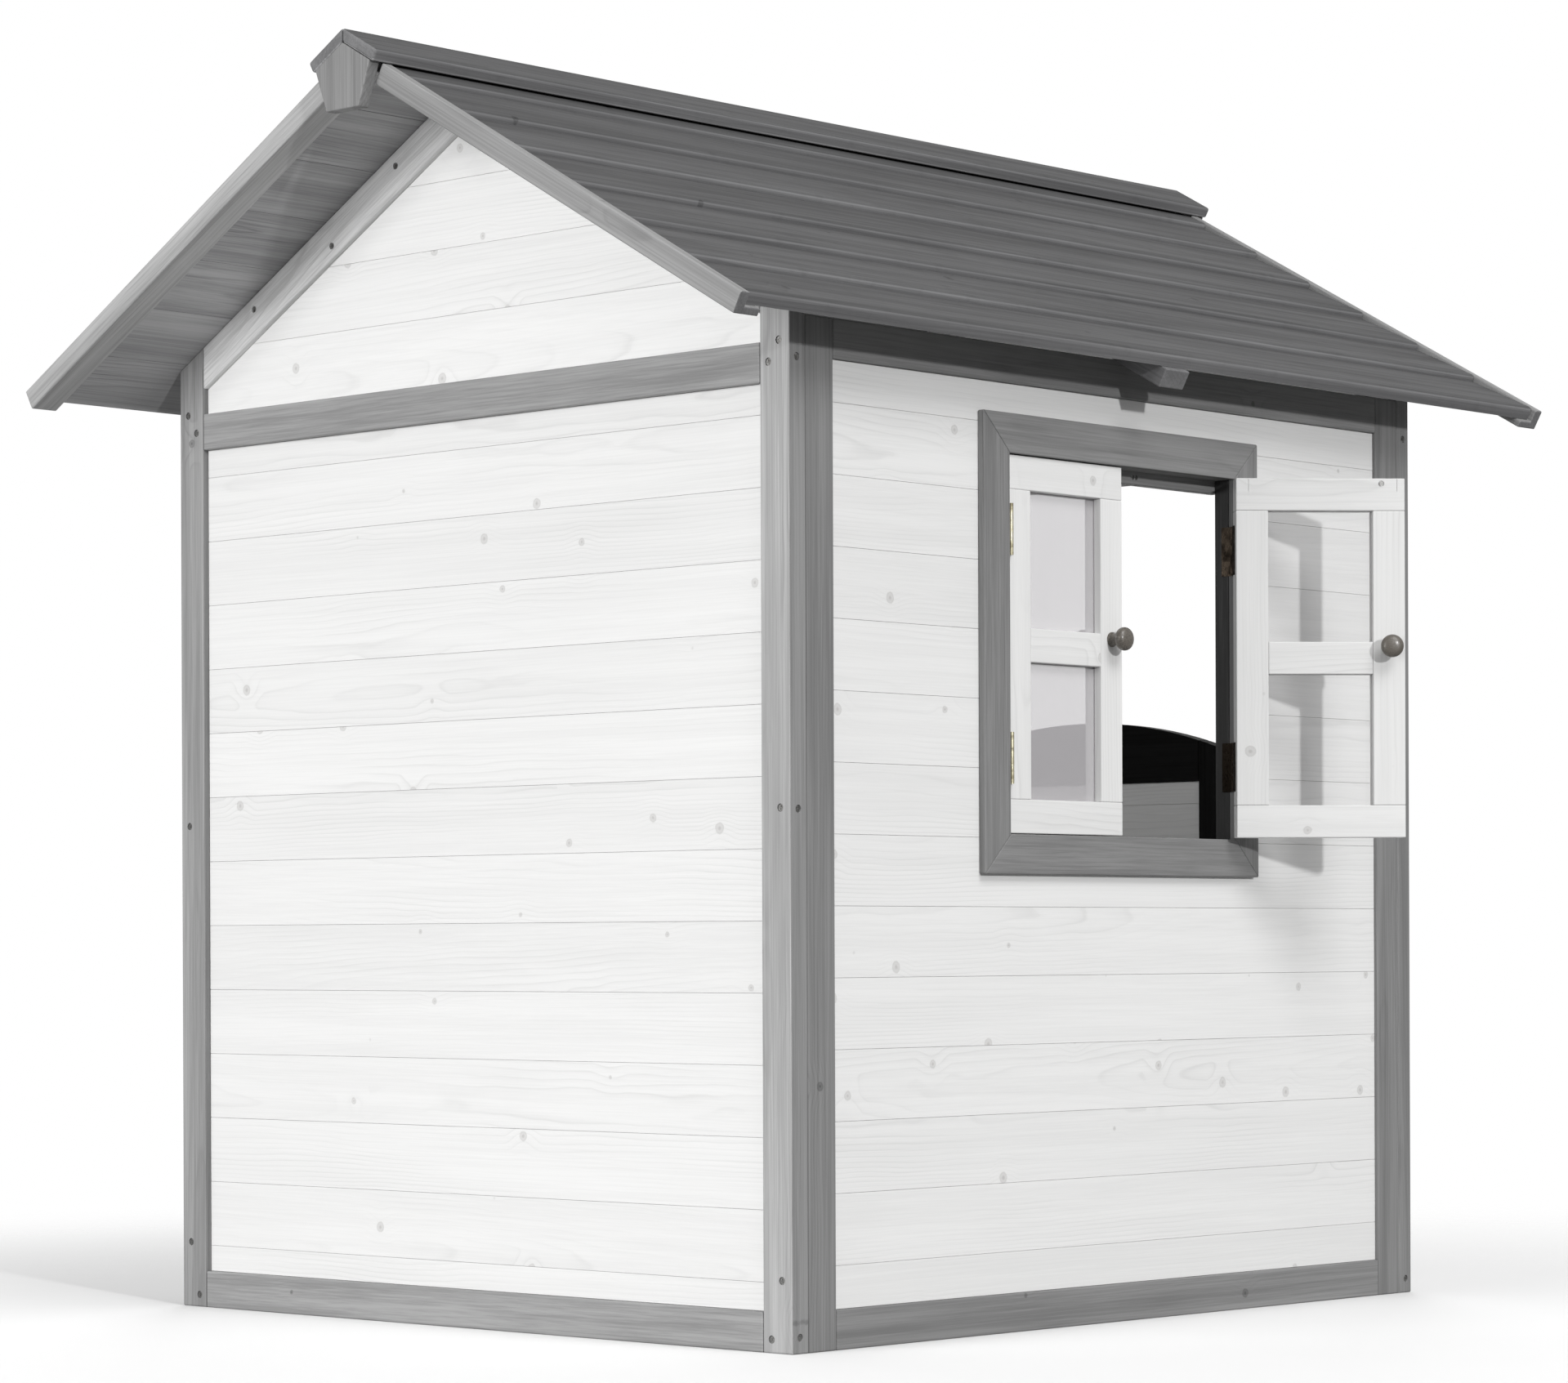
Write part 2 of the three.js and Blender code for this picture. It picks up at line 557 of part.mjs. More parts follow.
// Both sashes stand in the wall at -X. The sash's -Y face is turned to face -X.
// The back sash's pin is at its end nearest the back gable, and the front sash's is mirrored.
function addSash(name, pinY, isBack, opening) {
  const facing = new THREE.Group();
  facing.position.set(-HALF_WIDTH - HINGE_PIN_OUT, pinY, 0);
  facing.rotation.z = -Math.PI / 2;
  house.add(facing);
  const swinging = new THREE.Group();
  swinging.rotation.z = isBack ? -opening : opening;
  facing.add(swinging);
  const hand = (geometry) => (isBack ? geometry : mirrored(geometry));

  add(`${name}_frame`, hand(sashFrame()), whiteStain, swinging);
  add(`${name}_pane`, hand(sashPane()), clearAcrylic, swinging);
  add(`${name}_knob`, hand(sashKnob()), knobWood, swinging);
  const lowHinge = SASH_Z + SASH_HINGE_END - HINGE_LENGTH / 2;
  const highHinge = SASH_Z + SASH_HEIGHT - SASH_HINGE_END - HINGE_LENGTH / 2;
  for (const [z, height] of [[lowHinge, 'lower'], [highHinge, 'upper']]) {
    const fixed = hand(fixedLeaf(SASH_SIDE_GAP).translate(0, 0, z));
    const moving = hand(movingLeaf().translate(0, 0, z));
    add(`${name}_${height}_hinge_fixed_leaf`, fixed, hingeBrass, facing);
    add(`${name}_${height}_hinge_moving_leaf`, moving, hingeBrass, swinging);
  }
}

addSash('back_sash', WINDOW_BACK_Y - SASH_SIDE_GAP, true, 0);
addSash('front_sash', WINDOW_FRONT_Y + SASH_SIDE_GAP, false, FRONT_SASH_OPEN);

// ---------------------------------------------------------------- half door

// The door is drawn shut in the front gable, flush with the gable's frame
const DOOR_HALF = DOOR_WIDTH / 2;
const DOOR_FACE_Y = -HALF_LENGTH;
const DOOR_BACK_Y = DOOR_FACE_Y + DOOR_DEPTH;

function archHeight(x) {
  return DOOR_CROWN_Z - DOOR_ARCH_RADIUS + Math.sqrt(DOOR_ARCH_RADIUS ** 2 - x ** 2);
}

function doorFrame() {
  const points = [[-DOOR_HALF, DOOR_BOTTOM_Z], [DOOR_HALF, DOOR_BOTTOM_Z]];
  for (let i = 0; i <= ARCH_STEPS; i += 1) {
    const x = DOOR_HALF * (1 - 2 * i / ARCH_STEPS);
    points.push([x, archHeight(x)]);
  }
  const panel = DOOR_HALF - STOCK_WIDTH;
  const hole = box([-panel, panel], [DOOR_FACE_Y - OVERLAP, DOOR_BACK_Y + OVERLAP],
    [DOOR_BOTTOM_Z + STOCK_WIDTH, DOOR_PANEL_TOP_Z]);
  return cut(prismAlongY(points, DOOR_FACE_Y, DOOR_BACK_Y), hole);
}

const doorPanelEdge = DOOR_HALF - STOCK_WIDTH - FIT;
const doorBoardsY = DOOR_FACE_Y + GABLE_RECESS;
add('door_frame', doorFrame(), doorStain);
add('door_boards', prismAlongX(claddingSection(
  doorBoardsY, doorBoardsY + CLADDING_DEPTH,
  DOOR_BOTTOM_Z + STOCK_WIDTH + FIT, DOOR_PANEL_TOP_Z - FIT, GABLE_FIRST_SEAM_Z,
), -doorPanelEdge, doorPanelEdge), whiteStain);

// The door hangs on the plain side, so its hinges are mirrored: the door spreads to -X
const doorLowHinge = DOOR_BOTTOM_Z + DOOR_HINGE_END - HINGE_LENGTH / 2;
const doorHighHinge = DOOR_PANEL_TOP_Z - DOOR_HINGE_END - HINGE_LENGTH / 2;
for (const [z, height] of [[doorLowHinge, 'lower'], [doorHighHinge, 'upper']]) {
  const leaf = mirrored(movingLeaf());
  leaf.translate(DOOR_HALF, DOOR_FACE_Y - HINGE_PIN_OUT, z);
  add(`door_${height}_hinge_leaf`, leaf, hingeBrass);
}

export default house;
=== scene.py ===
"""A child's timber playhouse: the looks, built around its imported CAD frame.

Every board and frame member is a piece of its own, with rounded arrises, end grain and a
seeded run of growth rings and knots. Metres, +Z up, the back gable towards +Y, the window
towards -X.
"""

import json
import math
import random

import bmesh
import bpy
from mathutils import Matrix, Vector

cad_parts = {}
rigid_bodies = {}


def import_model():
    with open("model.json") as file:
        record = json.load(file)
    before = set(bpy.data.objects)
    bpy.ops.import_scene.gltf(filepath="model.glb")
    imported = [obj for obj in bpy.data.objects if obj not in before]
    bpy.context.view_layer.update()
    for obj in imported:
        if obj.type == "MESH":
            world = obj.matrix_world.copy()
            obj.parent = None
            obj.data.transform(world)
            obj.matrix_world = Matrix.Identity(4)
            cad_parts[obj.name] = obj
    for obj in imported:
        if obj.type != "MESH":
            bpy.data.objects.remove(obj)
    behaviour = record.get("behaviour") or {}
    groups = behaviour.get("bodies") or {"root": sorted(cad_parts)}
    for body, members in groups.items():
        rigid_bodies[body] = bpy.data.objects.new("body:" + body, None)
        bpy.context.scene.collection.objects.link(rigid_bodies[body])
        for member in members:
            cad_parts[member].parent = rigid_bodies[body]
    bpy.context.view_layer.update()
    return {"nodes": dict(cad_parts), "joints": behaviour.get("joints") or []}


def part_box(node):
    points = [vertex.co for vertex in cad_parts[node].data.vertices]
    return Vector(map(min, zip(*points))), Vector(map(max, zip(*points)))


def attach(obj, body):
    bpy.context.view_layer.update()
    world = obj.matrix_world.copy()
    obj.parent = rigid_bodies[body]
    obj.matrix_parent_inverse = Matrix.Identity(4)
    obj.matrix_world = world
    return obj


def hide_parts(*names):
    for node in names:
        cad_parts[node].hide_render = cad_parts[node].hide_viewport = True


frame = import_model()

MM = 0.001
SIDES = (("window_side", -1), ("plain_side", 1))
ENDS = (("back", 1), ("front", -1))

# ---- sizes the frame doesn't state

FIT = 0.3 * MM                   # gap left between neighbouring pieces
TIGHT = 0.12 * MM                # gap at a glued joint
STOCK = 45 * MM                  # face width of the frame members
COLLINEAR = math.radians(1)      # flatter edges than this are dissolved
SHARP = math.radians(25)         # sharper edges than this are rounded

BOARD_COVER = 80 * MM            # visible height of a cladding board
GABLE_FIRST_SEAM = 77 * MM
WALL_FIRST_SEAM = 93.5 * MM
SEAM_GAP = 0.3 * MM              # open joint between two boards
BOARD_TONGUE = 5 * MM
TONGUE_PLAY = 0.2 * MM

PITCH = math.radians(29.3)
SLOPE = math.tan(PITCH)
SLOPE_LENGTH = 698 * MM
ROOF_BOARD_COUNT = 7
ROOF_BOARD_COVER = 102 * MM
FIRST_ROOF_EDGE = 78.5 * MM      # ridge to the lower edge of the top board
ROOF_BOARD_THICK = 16.3 * MM     # at its lower edge
ROOF_BOARD_THIN = 8.5 * MM       # where the next board up covers it
ROOF_NOSE = 5.5 * MM             # radius along the lower edge
ROOF_TONGUE = 5 * MM
ROOF_TONGUE_LOW = 3 * MM         # tongue's two faces, above the board's underside
ROOF_TONGUE_HIGH = 7 * MM

TRIM_WIDTH = 46 * MM
TRIM_REBATE = 4.7 * MM           # back of the window trim behind the face of the wall
LINING = 12 * MM
HEAD_STOP_HEIGHT = 15.5 * MM
HEAD_STOP_SCREWS_Y = (-50 * MM, -56.5 * MM)
HEAD_STOP_SCREW_UP = 8.5 * MM

SASH_WIDTH = 208 * MM
SASH_DEPTH = 25 * MM
SASH_MEMBER = 39.5 * MM          # face width of a sash's stiles, rails and bar
PANE_SETBACK = 10.5 * MM         # sash's outer face to the pane
PANE_DEPTH = 2.5 * MM
PANE_GROOVE = 6.3 * MM
KERF = 0.7 * MM                  # width of the saw marks across the ends of a top rail
KERF_DEPTH = 0.8 * MM
KERF_LENGTH = 16 * MM
KERF_FROM_HINGE = 15 * MM
KERF_FROM_FREE = 10 * MM
KNOB_Z = 812 * MM
SPINDLE_RADIUS = 4 * MM
SPINDLE_BORE = 4.3 * MM
FRONT_SASH_OPEN = math.radians(136.4)

SASH_SIDE_GAP = 3 * MM
DOOR_SIDE_GAP = 4 * MM
DOOR_ARCH_RADIUS = 720 * MM
HINGE_PIN_OUT = 3.7 * MM         # pin in front of the face of its sash or door, at their edge
HINGE_LENGTH = 60 * MM
SASH_HINGE_END = 87 * MM         # sash's end to the middle of a hinge
KNUCKLE_RADIUS = 2.7 * MM
KNUCKLE_PLAY = 0.35 * MM
PIN_RADIUS = 1.2 * MM
PIN_BORE = 1.5 * MM
LEAF_THICKNESS = 1 * MM
LEAF_DEPTH = 16 * MM
LEAF_CLEARANCE = 0.6 * MM        # a leaf's arm to the plate of the other leaf
LEAF_HOLE = 2.4 * MM

SCREW_RADIUS = 4 * MM
SCREW_HEAD = 0.9 * MM            # depth of a head
SCREW_SINK = 1.3 * MM            # timber's face to the head
SINK_PLAY = 0.6 * MM             # gap round a head in its countersink
SINK_DEPTH = 2.2 * MM
RAKE_SCREW_RADIUS = 3.6 * MM
STOP_SCREW_RADIUS = 2.4 * MM
LEAF_SCREW_RADIUS = 2.2 * MM
LEAF_SCREW_IN = 9.5 * MM         # edge of the leaf's plate to its screws
LEAF_SCREW_END = 9 * MM          # end of the leaf to its outer screws
CORNER_SCREW_RADIUS = 3 * MM
CORNER_SCREW_HOLE = 3.6 * MM
CORNER_SCREW_SINK = 0.5 * MM
CORNER_SCREW_IN = 29 * MM        # sash's free edge to the screw in its top rail
CORNER_SCREW_DOWN = 6.5 * MM
STILE_SCREWS = ((16 * MM, 1.1165), (16 * MM, 0.6015), (16 * MM, 0.0805),
                (32 * MM, 1.0936), (32 * MM, 0.0151))    # in from the corner, and height
CORNER_SCREWS_Z = (1.0978, 0.60, 0.018)                  # through the stile's side
CORNER_SCREWS_IN = 12 * MM
RAKE_SCREWS = ((0.1192, 1.3834), (0.2352, 1.3003), (0.381, 1.2378))    # from the middle, height

# ---- shades, as shares of a stain: apart from TONE_SPREAD, painted light and shade, each member drawn lighter or darker to match how light falls on it

TONE_SPREAD = 0.03               # how far one board's shade may differ from the next
# Painted light and shade by side: the plain side's rakes and verge battens, shaded by the roof, are
# drawn much lighter
STILE_SHADE = {"window_side": 1.37, "plain_side": 1.05}
RAKE_SHADE = {"window_side": 1.2, "plain_side": 2.5}
VERGE_SHADE = {"window_side": 1.0, "plain_side": 1.35}
# Painted shade: the linings inside the window opening are drawn darker, the front one nearly black
LINING_SHADE = {"sill": 0.6, "head": 1.0, "front": 0.17, "back": 0.6}
# Painted shade: the open front sash, square to the lights, is drawn darker than the shut one
SASH_SHADE = {"back_sash": 0.95, "front_sash": 0.86}
BOTTOM_RAIL_SHADE = 1.15
TIE_RAIL_SHADE = 1.08
SIDE_STILE_SHADE = 0.80          # painted shade: side wall frames drawn darker than the gables'
SIDE_RAIL_SHADE = 0.88
RIDGE_BLOCK_SHADE = 0.78
BOARD_SHADE = 0.98
# Painted light: the back gable's lower boards make up for the key light kept off them
BACK_BOARD_SHADE = 1.03
# Painted light: the gables' upper boards, shaded by the roof's overhang, are drawn lighter
UPPER_BOARD_SHADE = 1.1

# ---- camera and lights

CAMERA_PLACE = (-3.8440, 4.1680, 0.4517)
CAMERA_FORWARD = (0.6796, -0.7336, -0.0009)
CAMERA_ROLL = -0.0037
CAMERA_LENS = 102.82
CAMERA_SHIFT = (-0.0225, 0.1634)
SKY_ABOVE = 0.5
SKY_BELOW = 0.15
KEY_STRENGTH = 1.34
KEY_FROM = (-1.0, 0.31, 0.25)
KEY_ANGLE = math.radians(3)
FLOOR_BOUNCE = 0.3               # how much light the floor gives back to the house
FLOOR_SOLID = 0.8                # the floor fades out from here
FLOOR_RADIUS = 2.4


# ---- node helpers

class Nodes:
    """Adds shader nodes to one tree, and joins them by value."""

    def __init__(self, tree):
        self.tree = tree

    def put(self, socket, value):
        if isinstance(value, bpy.types.NodeSocket):
            self.tree.links.new(value, socket)
        else:
            socket.default_value = value

    def add(self, kind, settings=None, **inputs):
        node = self.tree.nodes.new(kind)
        for key, value in (settings or {}).items():
            setattr(node, key, value)
        for key, value in inputs.items():
            self.put(node.inputs[key.replace("_", " ")], value)
        return node

    def math(self, operation, *values, clamp=False):
        node = self.add("ShaderNodeMath", {"operation": operation, "use_clamp": clamp})
        for socket, value in zip(node.inputs, values):
            self.put(socket, value)
        return node.outputs[0]

    def vector(self, operation, *values):
        node = self.add("ShaderNodeVectorMath", {"operation": operation})
        for socket, value in zip(node.inputs, values):
            self.put(socket, value)
        return node.outputs[0]

    def ramp(self, factor, *stops):
        """A factor turned into a grey level, by (position, level) stops."""
        node = self.add("ShaderNodeValToRGB")
        self.put(node.inputs[0], factor)
        elements = node.color_ramp.elements
        while len(elements) < len(stops):
            elements.new(1.0)
        for element, (position, level) in zip(elements, stops):
            element.position = position
            element.color = (level, level, level, 1)
        return node.outputs[0]

    def spread(self, value, low, high, to_low=0.0, to_high=1.0):
        """Smoothstep of a value from one range to another."""
        node = self.add("ShaderNodeMapRange", {"interpolation_type": "SMOOTHSTEP"})
        for socket, item in zip(node.inputs, (value, low, high, to_low, to_high)):
            self.put(socket, item)
        return node.outputs[0]

    def mix(self, factor, a, b, blend="MIX"):
        node = self.add("ShaderNodeMix", {"data_type": "RGBA", "blend_type": blend})
        self.put(node.inputs[0], factor)
        self.put(node.inputs[6], a)
        self.put(node.inputs[7], b)
        return node.outputs[2]

    def noise(self, vector, scale, detail=4.0, roughness=0.55):
        return self.add("ShaderNodeTexNoise", Vector=vector, Scale=scale, Detail=detail,
                        Roughness=roughness)

    def stretched(self, vector, x, y, z):
        return self.vector("MULTIPLY", vector, (x, y, z))

    def attribute(self, name, output):
        return self.add("ShaderNodeAttribute", {"attribute_name": name}).outputs[output]


def new_material(name):
    material = bpy.data.materials.new(name)
    material.use_nodes = True
    tree = material.node_tree
    shader = tree.nodes["Principled BSDF"]
    return material, Nodes(tree), shader


# ---- materials

def relief(n, shader, strength, distance, height):
    """Small relief in a shader's surface."""
    bump = n.add("ShaderNodeBump", Strength=strength, Distance=distance, Height=height)
    n.put(shader.inputs["Normal"], bump.outputs[0])


def wood(name, light, dark, knot, ring, streak, year_width, wave, roughness, bump, knots_apart=0.24,
         grime=0.0, specular=0.35):
    """Stained pine. The `grain` attribute is in metres, x along the pith and y, z out from it.
    `year_width` is the spacing of the rings, `wave` is how far they wander and `knots_apart` is
    the usual distance between knots, in metres too."""
    material, n, shader = new_material(name)
    grain = n.attribute("grain", "Vector")
    tone = n.attribute("tone", "Fac")

    # Knots, each a dark eye in a ring
    flat = n.stretched(grain, 1, 1, 0)
    cells = n.add("ShaderNodeTexVoronoi", {"voronoi_dimensions": "2D"}, Vector=flat,
                  Scale=1 / knots_apart)
    split = n.add("ShaderNodeSeparateColor", Color=cells.outputs["Color"])
    distance = n.math("MULTIPLY", cells.outputs["Distance"], knots_apart)
    size = n.spread(split.outputs[0], 0.22, 1.0, 0.0, 0.0062)
    wobble = n.noise(grain, 160, 2).outputs["Fac"]
    distance = n.math("ADD", distance, n.math("MULTIPLY", n.math("SUBTRACT", wobble, 0.5), 0.0025))
    eye = n.math("SUBTRACT", 1.0, n.spread(n.math("SUBTRACT", distance, size), -0.0014, 0.0008))
    share = n.math("DIVIDE", distance, n.math("ADD", size, 0.0001))
    core = n.math("SUBTRACT", 1.0, n.spread(share, 0.1, 0.55))
    off_rim = n.math("ABSOLUTE", n.math("SUBTRACT", distance, size))
    rim = n.math("SUBTRACT", 1.0, n.spread(off_rim, 0.0, 0.0014))
    sized = n.spread(size, 0.0008, 0.002)
    dark_parts = n.math("ADD", n.math("MULTIPLY", core, 0.4), n.math("MULTIPLY", rim, 0.35))
    dark_parts = n.math("ADD", n.math("MULTIPLY", eye, 0.45), dark_parts)
    knots = n.math("MULTIPLY", sized, dark_parts, clamp=True)

    # Growth rings about the pith, bent round the knots
    swell = n.noise(n.stretched(grain, 1.4, 7, 7), 1.0, 3).outputs["Color"]
    swell = n.vector("SUBTRACT", swell, (0.5, 0.5, 0.5))
    ripple = n.noise(n.stretched(grain, 9, 25, 25), 1.0, 2).outputs["Color"]
    ripple = n.vector("SUBTRACT", ripple, (0.5, 0.5, 0.5))
    warped = n.vector("ADD", grain, n.stretched(swell, 0, wave, wave))
    warped = n.vector("ADD", warped, n.stretched(ripple, 0, 0.0035, 0.0035))
    radius = n.add("ShaderNodeVectorMath", {"operation": "LENGTH"})
    n.put(radius.inputs[0], n.stretched(warped, 0, 1, 1))
    push = n.math("SUBTRACT", 1.0, n.spread(distance, 0.002, 0.035))
    push = n.math("MULTIPLY", n.math("MULTIPLY", push, size), 1.1)
    radius = n.math("ADD", radius.outputs["Value"], push)
    year = n.math("FRACT", n.math("DIVIDE", radius, year_width))
    late = n.ramp(year, (0.0, 0.3), (0.08, 0.0), (0.5, 0.04), (0.8, 0.35), (0.93, 1.0), (1.0, 0.6))
    patch = n.spread(n.noise(n.stretched(grain, 2.2, 14, 14), 1.0, 2).outputs["Fac"], 0.4, 0.68)
    rings = n.math("MULTIPLY", late, n.math("ADD", 0.15, n.math("MULTIPLY", patch, 0.85)))

    # Fibre streaks along the grain, and the stain's slow change of depth
    fibre = n.noise(n.stretched(grain, 5, 420, 420), 1.0, 5, 0.65).outputs["Fac"]
    band = n.noise(n.stretched(grain, 1.1, 46, 46), 1.0, 4).outputs["Fac"]
    streaks = n.math("ADD", n.math("MULTIPLY", fibre, 0.45), n.math("MULTIPLY", band, 0.55))
    streaks = n.spread(streaks, 0.36, 0.64)
    cloud = n.spread(n.noise(n.stretched(grain, 2.4, 9, 9), 1.0, 3).outputs["Fac"], 0.3, 0.7)

    factor = n.math("ADD", n.math("MULTIPLY", rings, ring), n.math("MULTIPLY", streaks, streak))
    factor = n.math("ADD", factor, n.math("MULTIPLY", cloud, 0.3 * streak), clamp=True)
    colour = n.mix(factor, (*light, 1), (*dark, 1))
    colour = n.mix(knots, colour, (*knot, 1))
    scaled = n.add("ShaderNodeCombineXYZ", X=tone, Y=tone, Z=tone).outputs[0]
    colour = n.mix(1.0, colour, scaled, "MULTIPLY")
    if grime:
        soot = n.spread(n.noise(grain, 34, 6, 0.7).outputs["Fac"], 0.52, 0.72)
        colour = n.mix(n.math("MULTIPLY", soot, grime), colour, (*[0.6 * c for c in dark], 1))
    n.put(shader.inputs["Base Color"], colour)

    shader.inputs["Specular IOR Level"].default_value = specular
    n.put(shader.inputs["Roughness"], n.spread(streaks, 0, 1, roughness - 0.07, roughness + 0.07))
    height = n.math("ADD", n.math("MULTIPLY", fibre, 0.6), n.math("MULTIPLY", rings, 0.5))
    height = n.math("SUBTRACT", height, n.math("MULTIPLY", knots, 0.5))
    relief(n, shader, bump, 0.8 * MM, height)
    return material


def metal(name, colour, stain, roughness):
    """Plated or brass sheet with tarnish and fine scratches."""
    material, n, shader = new_material(name)
    place = n.add("ShaderNodeTexCoord").outputs["Object"]
    cloud = n.spread(n.noise(place, 90, 5, 0.6).outputs["Fac"], 0.42, 0.68)
    scratch = n.noise(n.stretched(place, 1500, 1500, 60), 1.0, 3).outputs["Fac"]
    n.put(shader.inputs["Base Color"], n.mix(cloud, (*colour, 1), (*stain, 1)))
    shader.inputs["Metallic"].default_value = 1.0
    rough = n.math("ADD", n.math("MULTIPLY", cloud, 0.25), n.math("MULTIPLY", scratch, 0.15))
    n.put(shader.inputs["Roughness"], n.math("ADD", rough, roughness))
    relief(n, shader, 0.15, 0.2 * MM, scratch)
    return material


def acrylic(name):
    """Clear sheet: nearly nothing square on, and a cool haze where it is seen at a slant."""
    material, n, shader = new_material(name)
    place = n.add("ShaderNodeTexCoord").outputs["Object"]
    smear = n.noise(n.stretched(place, 14, 14, 5), 1.0, 4).outputs["Fac"]
    n.put(shader.inputs["Base Color"], n.mix(smear, (0.53, 0.515, 0.53, 1), (0.57, 0.555, 0.57, 1)))
    n.put(shader.inputs["Roughness"], n.spread(smear, 0.3, 0.7, 0.04, 0.1))
    shader.inputs["IOR"].default_value = 1.49
    slant = n.add("ShaderNodeLayerWeight")
    slant.inputs["Blend"].default_value = 0.5
    haze = n.spread(slant.outputs["Facing"], 0.0, 0.33, 0.03, 0.45)
    shadow = n.add("ShaderNodeLightPath").outputs["Is Shadow Ray"]
    clearing = n.math("SUBTRACT", 1.0, n.math("MULTIPLY", shadow, 0.9))
    n.put(shader.inputs["Alpha"], n.math("MULTIPLY", haze, clearing))
    return material


def turned_wood(name):
    """Dark lacquered wood, grain along the spindle."""
    material, n, shader = new_material(name)
    grain = n.attribute("grain", "Vector")
    fibre = n.spread(n.noise(n.stretched(grain, 40, 900, 900), 1.0, 4).outputs["Fac"], 0.35, 0.65)
    n.put(shader.inputs["Base Color"], n.mix(fibre, (0.15, 0.135, 0.115, 1), (0.08, 0.071, 0.061, 1)))
    n.put(shader.inputs["Roughness"], n.spread(fibre, 0, 1, 0.32, 0.46))
    shader.inputs["Coat Weight"].default_value = 0.25
    shader.inputs["Coat Roughness"].default_value = 0.2
    relief(n, shader, 0.2, 0.3 * MM, fibre)
    return material


GREY_WOOD = dict(ring=0.4, streak=0.8, year_width=4 * MM, wave=0.024, roughness=0.55, bump=0.22)
ROOF_WOOD = dict(ring=0.35, streak=0.8, year_width=5 * MM, wave=0.03, roughness=0.6, bump=0.3)
DOOR_WOOD = dict(ring=0.4, streak=0.6, year_width=6 * MM, wave=0.03, bump=0.25)

WHITE = wood("white_stain", (0.83, 0.83, 0.825), (0.66, 0.66, 0.655), (0.5, 0.49, 0.48),
             ring=0.48, streak=0.3, year_width=4.6 * MM, wave=0.03, roughness=0.55, bump=0.15,
             knots_apart=0.14)
GREY = wood("grey_stain", [0.34] * 3, [0.205] * 3, [0.09] * 3, **GREY_WOOD)
# A darker copy of the grey stain for the gable stiles' side faces: painted shade
GREY_PAINTED_SHADE = wood("grey_stain_side", [0.21] * 3, [0.13] * 3, [0.07] * 3, **GREY_WOOD)
ROOF = wood("roof_stain", (0.107, 0.107, 0.109), (0.064, 0.064, 0.065), [0.02] * 3, grime=0.25,
            **ROOF_WOOD)
# Lighter copies of the roof stain: painted light on the roof boards' edges and undersides; the mid
# battens are wholly of the edge stain
ROOF_EDGE = wood("roof_stain_edge", (0.2, 0.2, 0.204), (0.13, 0.13, 0.133), [0.05] * 3, grime=0.2,
                 **ROOF_WOOD)
SOFFIT = wood("roof_stain_underside", (0.45, 0.45, 0.455), (0.23, 0.23, 0.235), [0.07] * 3,
              ring=0.5, streak=0.65, year_width=6 * MM, wave=0.03, roughness=0.6, bump=0.25)
# Near-black for the door's inner faces: painted shade, standing in for the dark inside of the house;
# the outside faces get a lighter stain
DOOR = wood("door_stain", [0.007] * 3, [0.004] * 3, [0.002] * 3, roughness=0.7, specular=0.1,
            **DOOR_WOOD)
DOOR_OUTSIDE = wood("door_stain_outside", [0.07] * 3, [0.035] * 3, [0.02] * 3, roughness=0.5,
                    **DOOR_WOOD)
KNOB = turned_wood("knob_lacquer")
BRASS = metal("hinge_brass", (0.72, 0.68, 0.50), (0.30, 0.27, 0.18), 0.28)
# A near-black copy of the brass for the open front sash's hinges and screws: painted shade and
# reflection, standing in for the dark that they mirror
BRASS_PAINTED_SHADE = metal("hinge_brass_browned", (0.035, 0.027, 0.02), (0.015, 0.011, 0.008), 0.2)
BRASS_SCREW = metal("screw_brass", (0.60, 0.52, 0.33), (0.22, 0.18, 0.11), 0.3)
STEEL = metal("screw_zinc", (0.42, 0.42, 0.41), (0.16, 0.155, 0.15), 0.22)
PANE = acrylic("pane_acrylic")


# ---- mesh helpers

def prism(points, axis, low, high):
    """A bmesh prism: `points` is its section in the other two axes, in the order (X, Y, Z)."""
    bm = bmesh.new()

    def corner(a, b, along):
        place = {"X": (along, a, b), "Y": (a, along, b), "Z": (a, b, along)}[axis]
        return bm.verts.new(place)

    first = [corner(a, b, low) for a, b in points]
    last = [corner(a, b, high) for a, b in points]
    bm.faces.new(first)
    bm.faces.new(last)
    for i, point in enumerate(first):
        j = (i + 1) % len(first)
        bm.faces.new((point, first[j], last[j], last[i]))
    bmesh.ops.recalc_face_normals(bm, faces=bm.faces)
    return bm


def block(low, high):
    """A bmesh box between two corners."""
    corners = [(low[0], low[1]), (high[0], low[1]), (high[0], high[1]), (low[0], high[1])]
    return prism(corners, "Z", low[2], high[2])


def cylinder(centre, radius, low, high, axis="Z", segments=24):
    """A bmesh cylinder; `centre` is in the two other axes."""
    ring = [(centre[0] + radius * math.cos(a), centre[1] + radius * math.sin(a))
            for a in (2 * math.pi * i / segments for i in range(segments))]
    return prism(ring, axis, low, high)


def merged(*parts):
    """Several closed bmeshes in one."""
    whole = bmesh.new()
    for part in parts:
        mesh = bpy.data.meshes.new("part")
        part.to_mesh(mesh)
        whole.from_mesh(mesh)
        part.free()
        bpy.data.meshes.remove(mesh)
    return whole


def cut_from(target, cutter):
    """One closed bmesh less another."""
    return combined(target, cutter, "DIFFERENCE")


def fused(*parts):
    """Closed bmeshes joined in one closed bmesh."""
    whole = parts[0]
    for part in parts[1:]:
        whole = combined(whole, part, "UNION")
    return whole


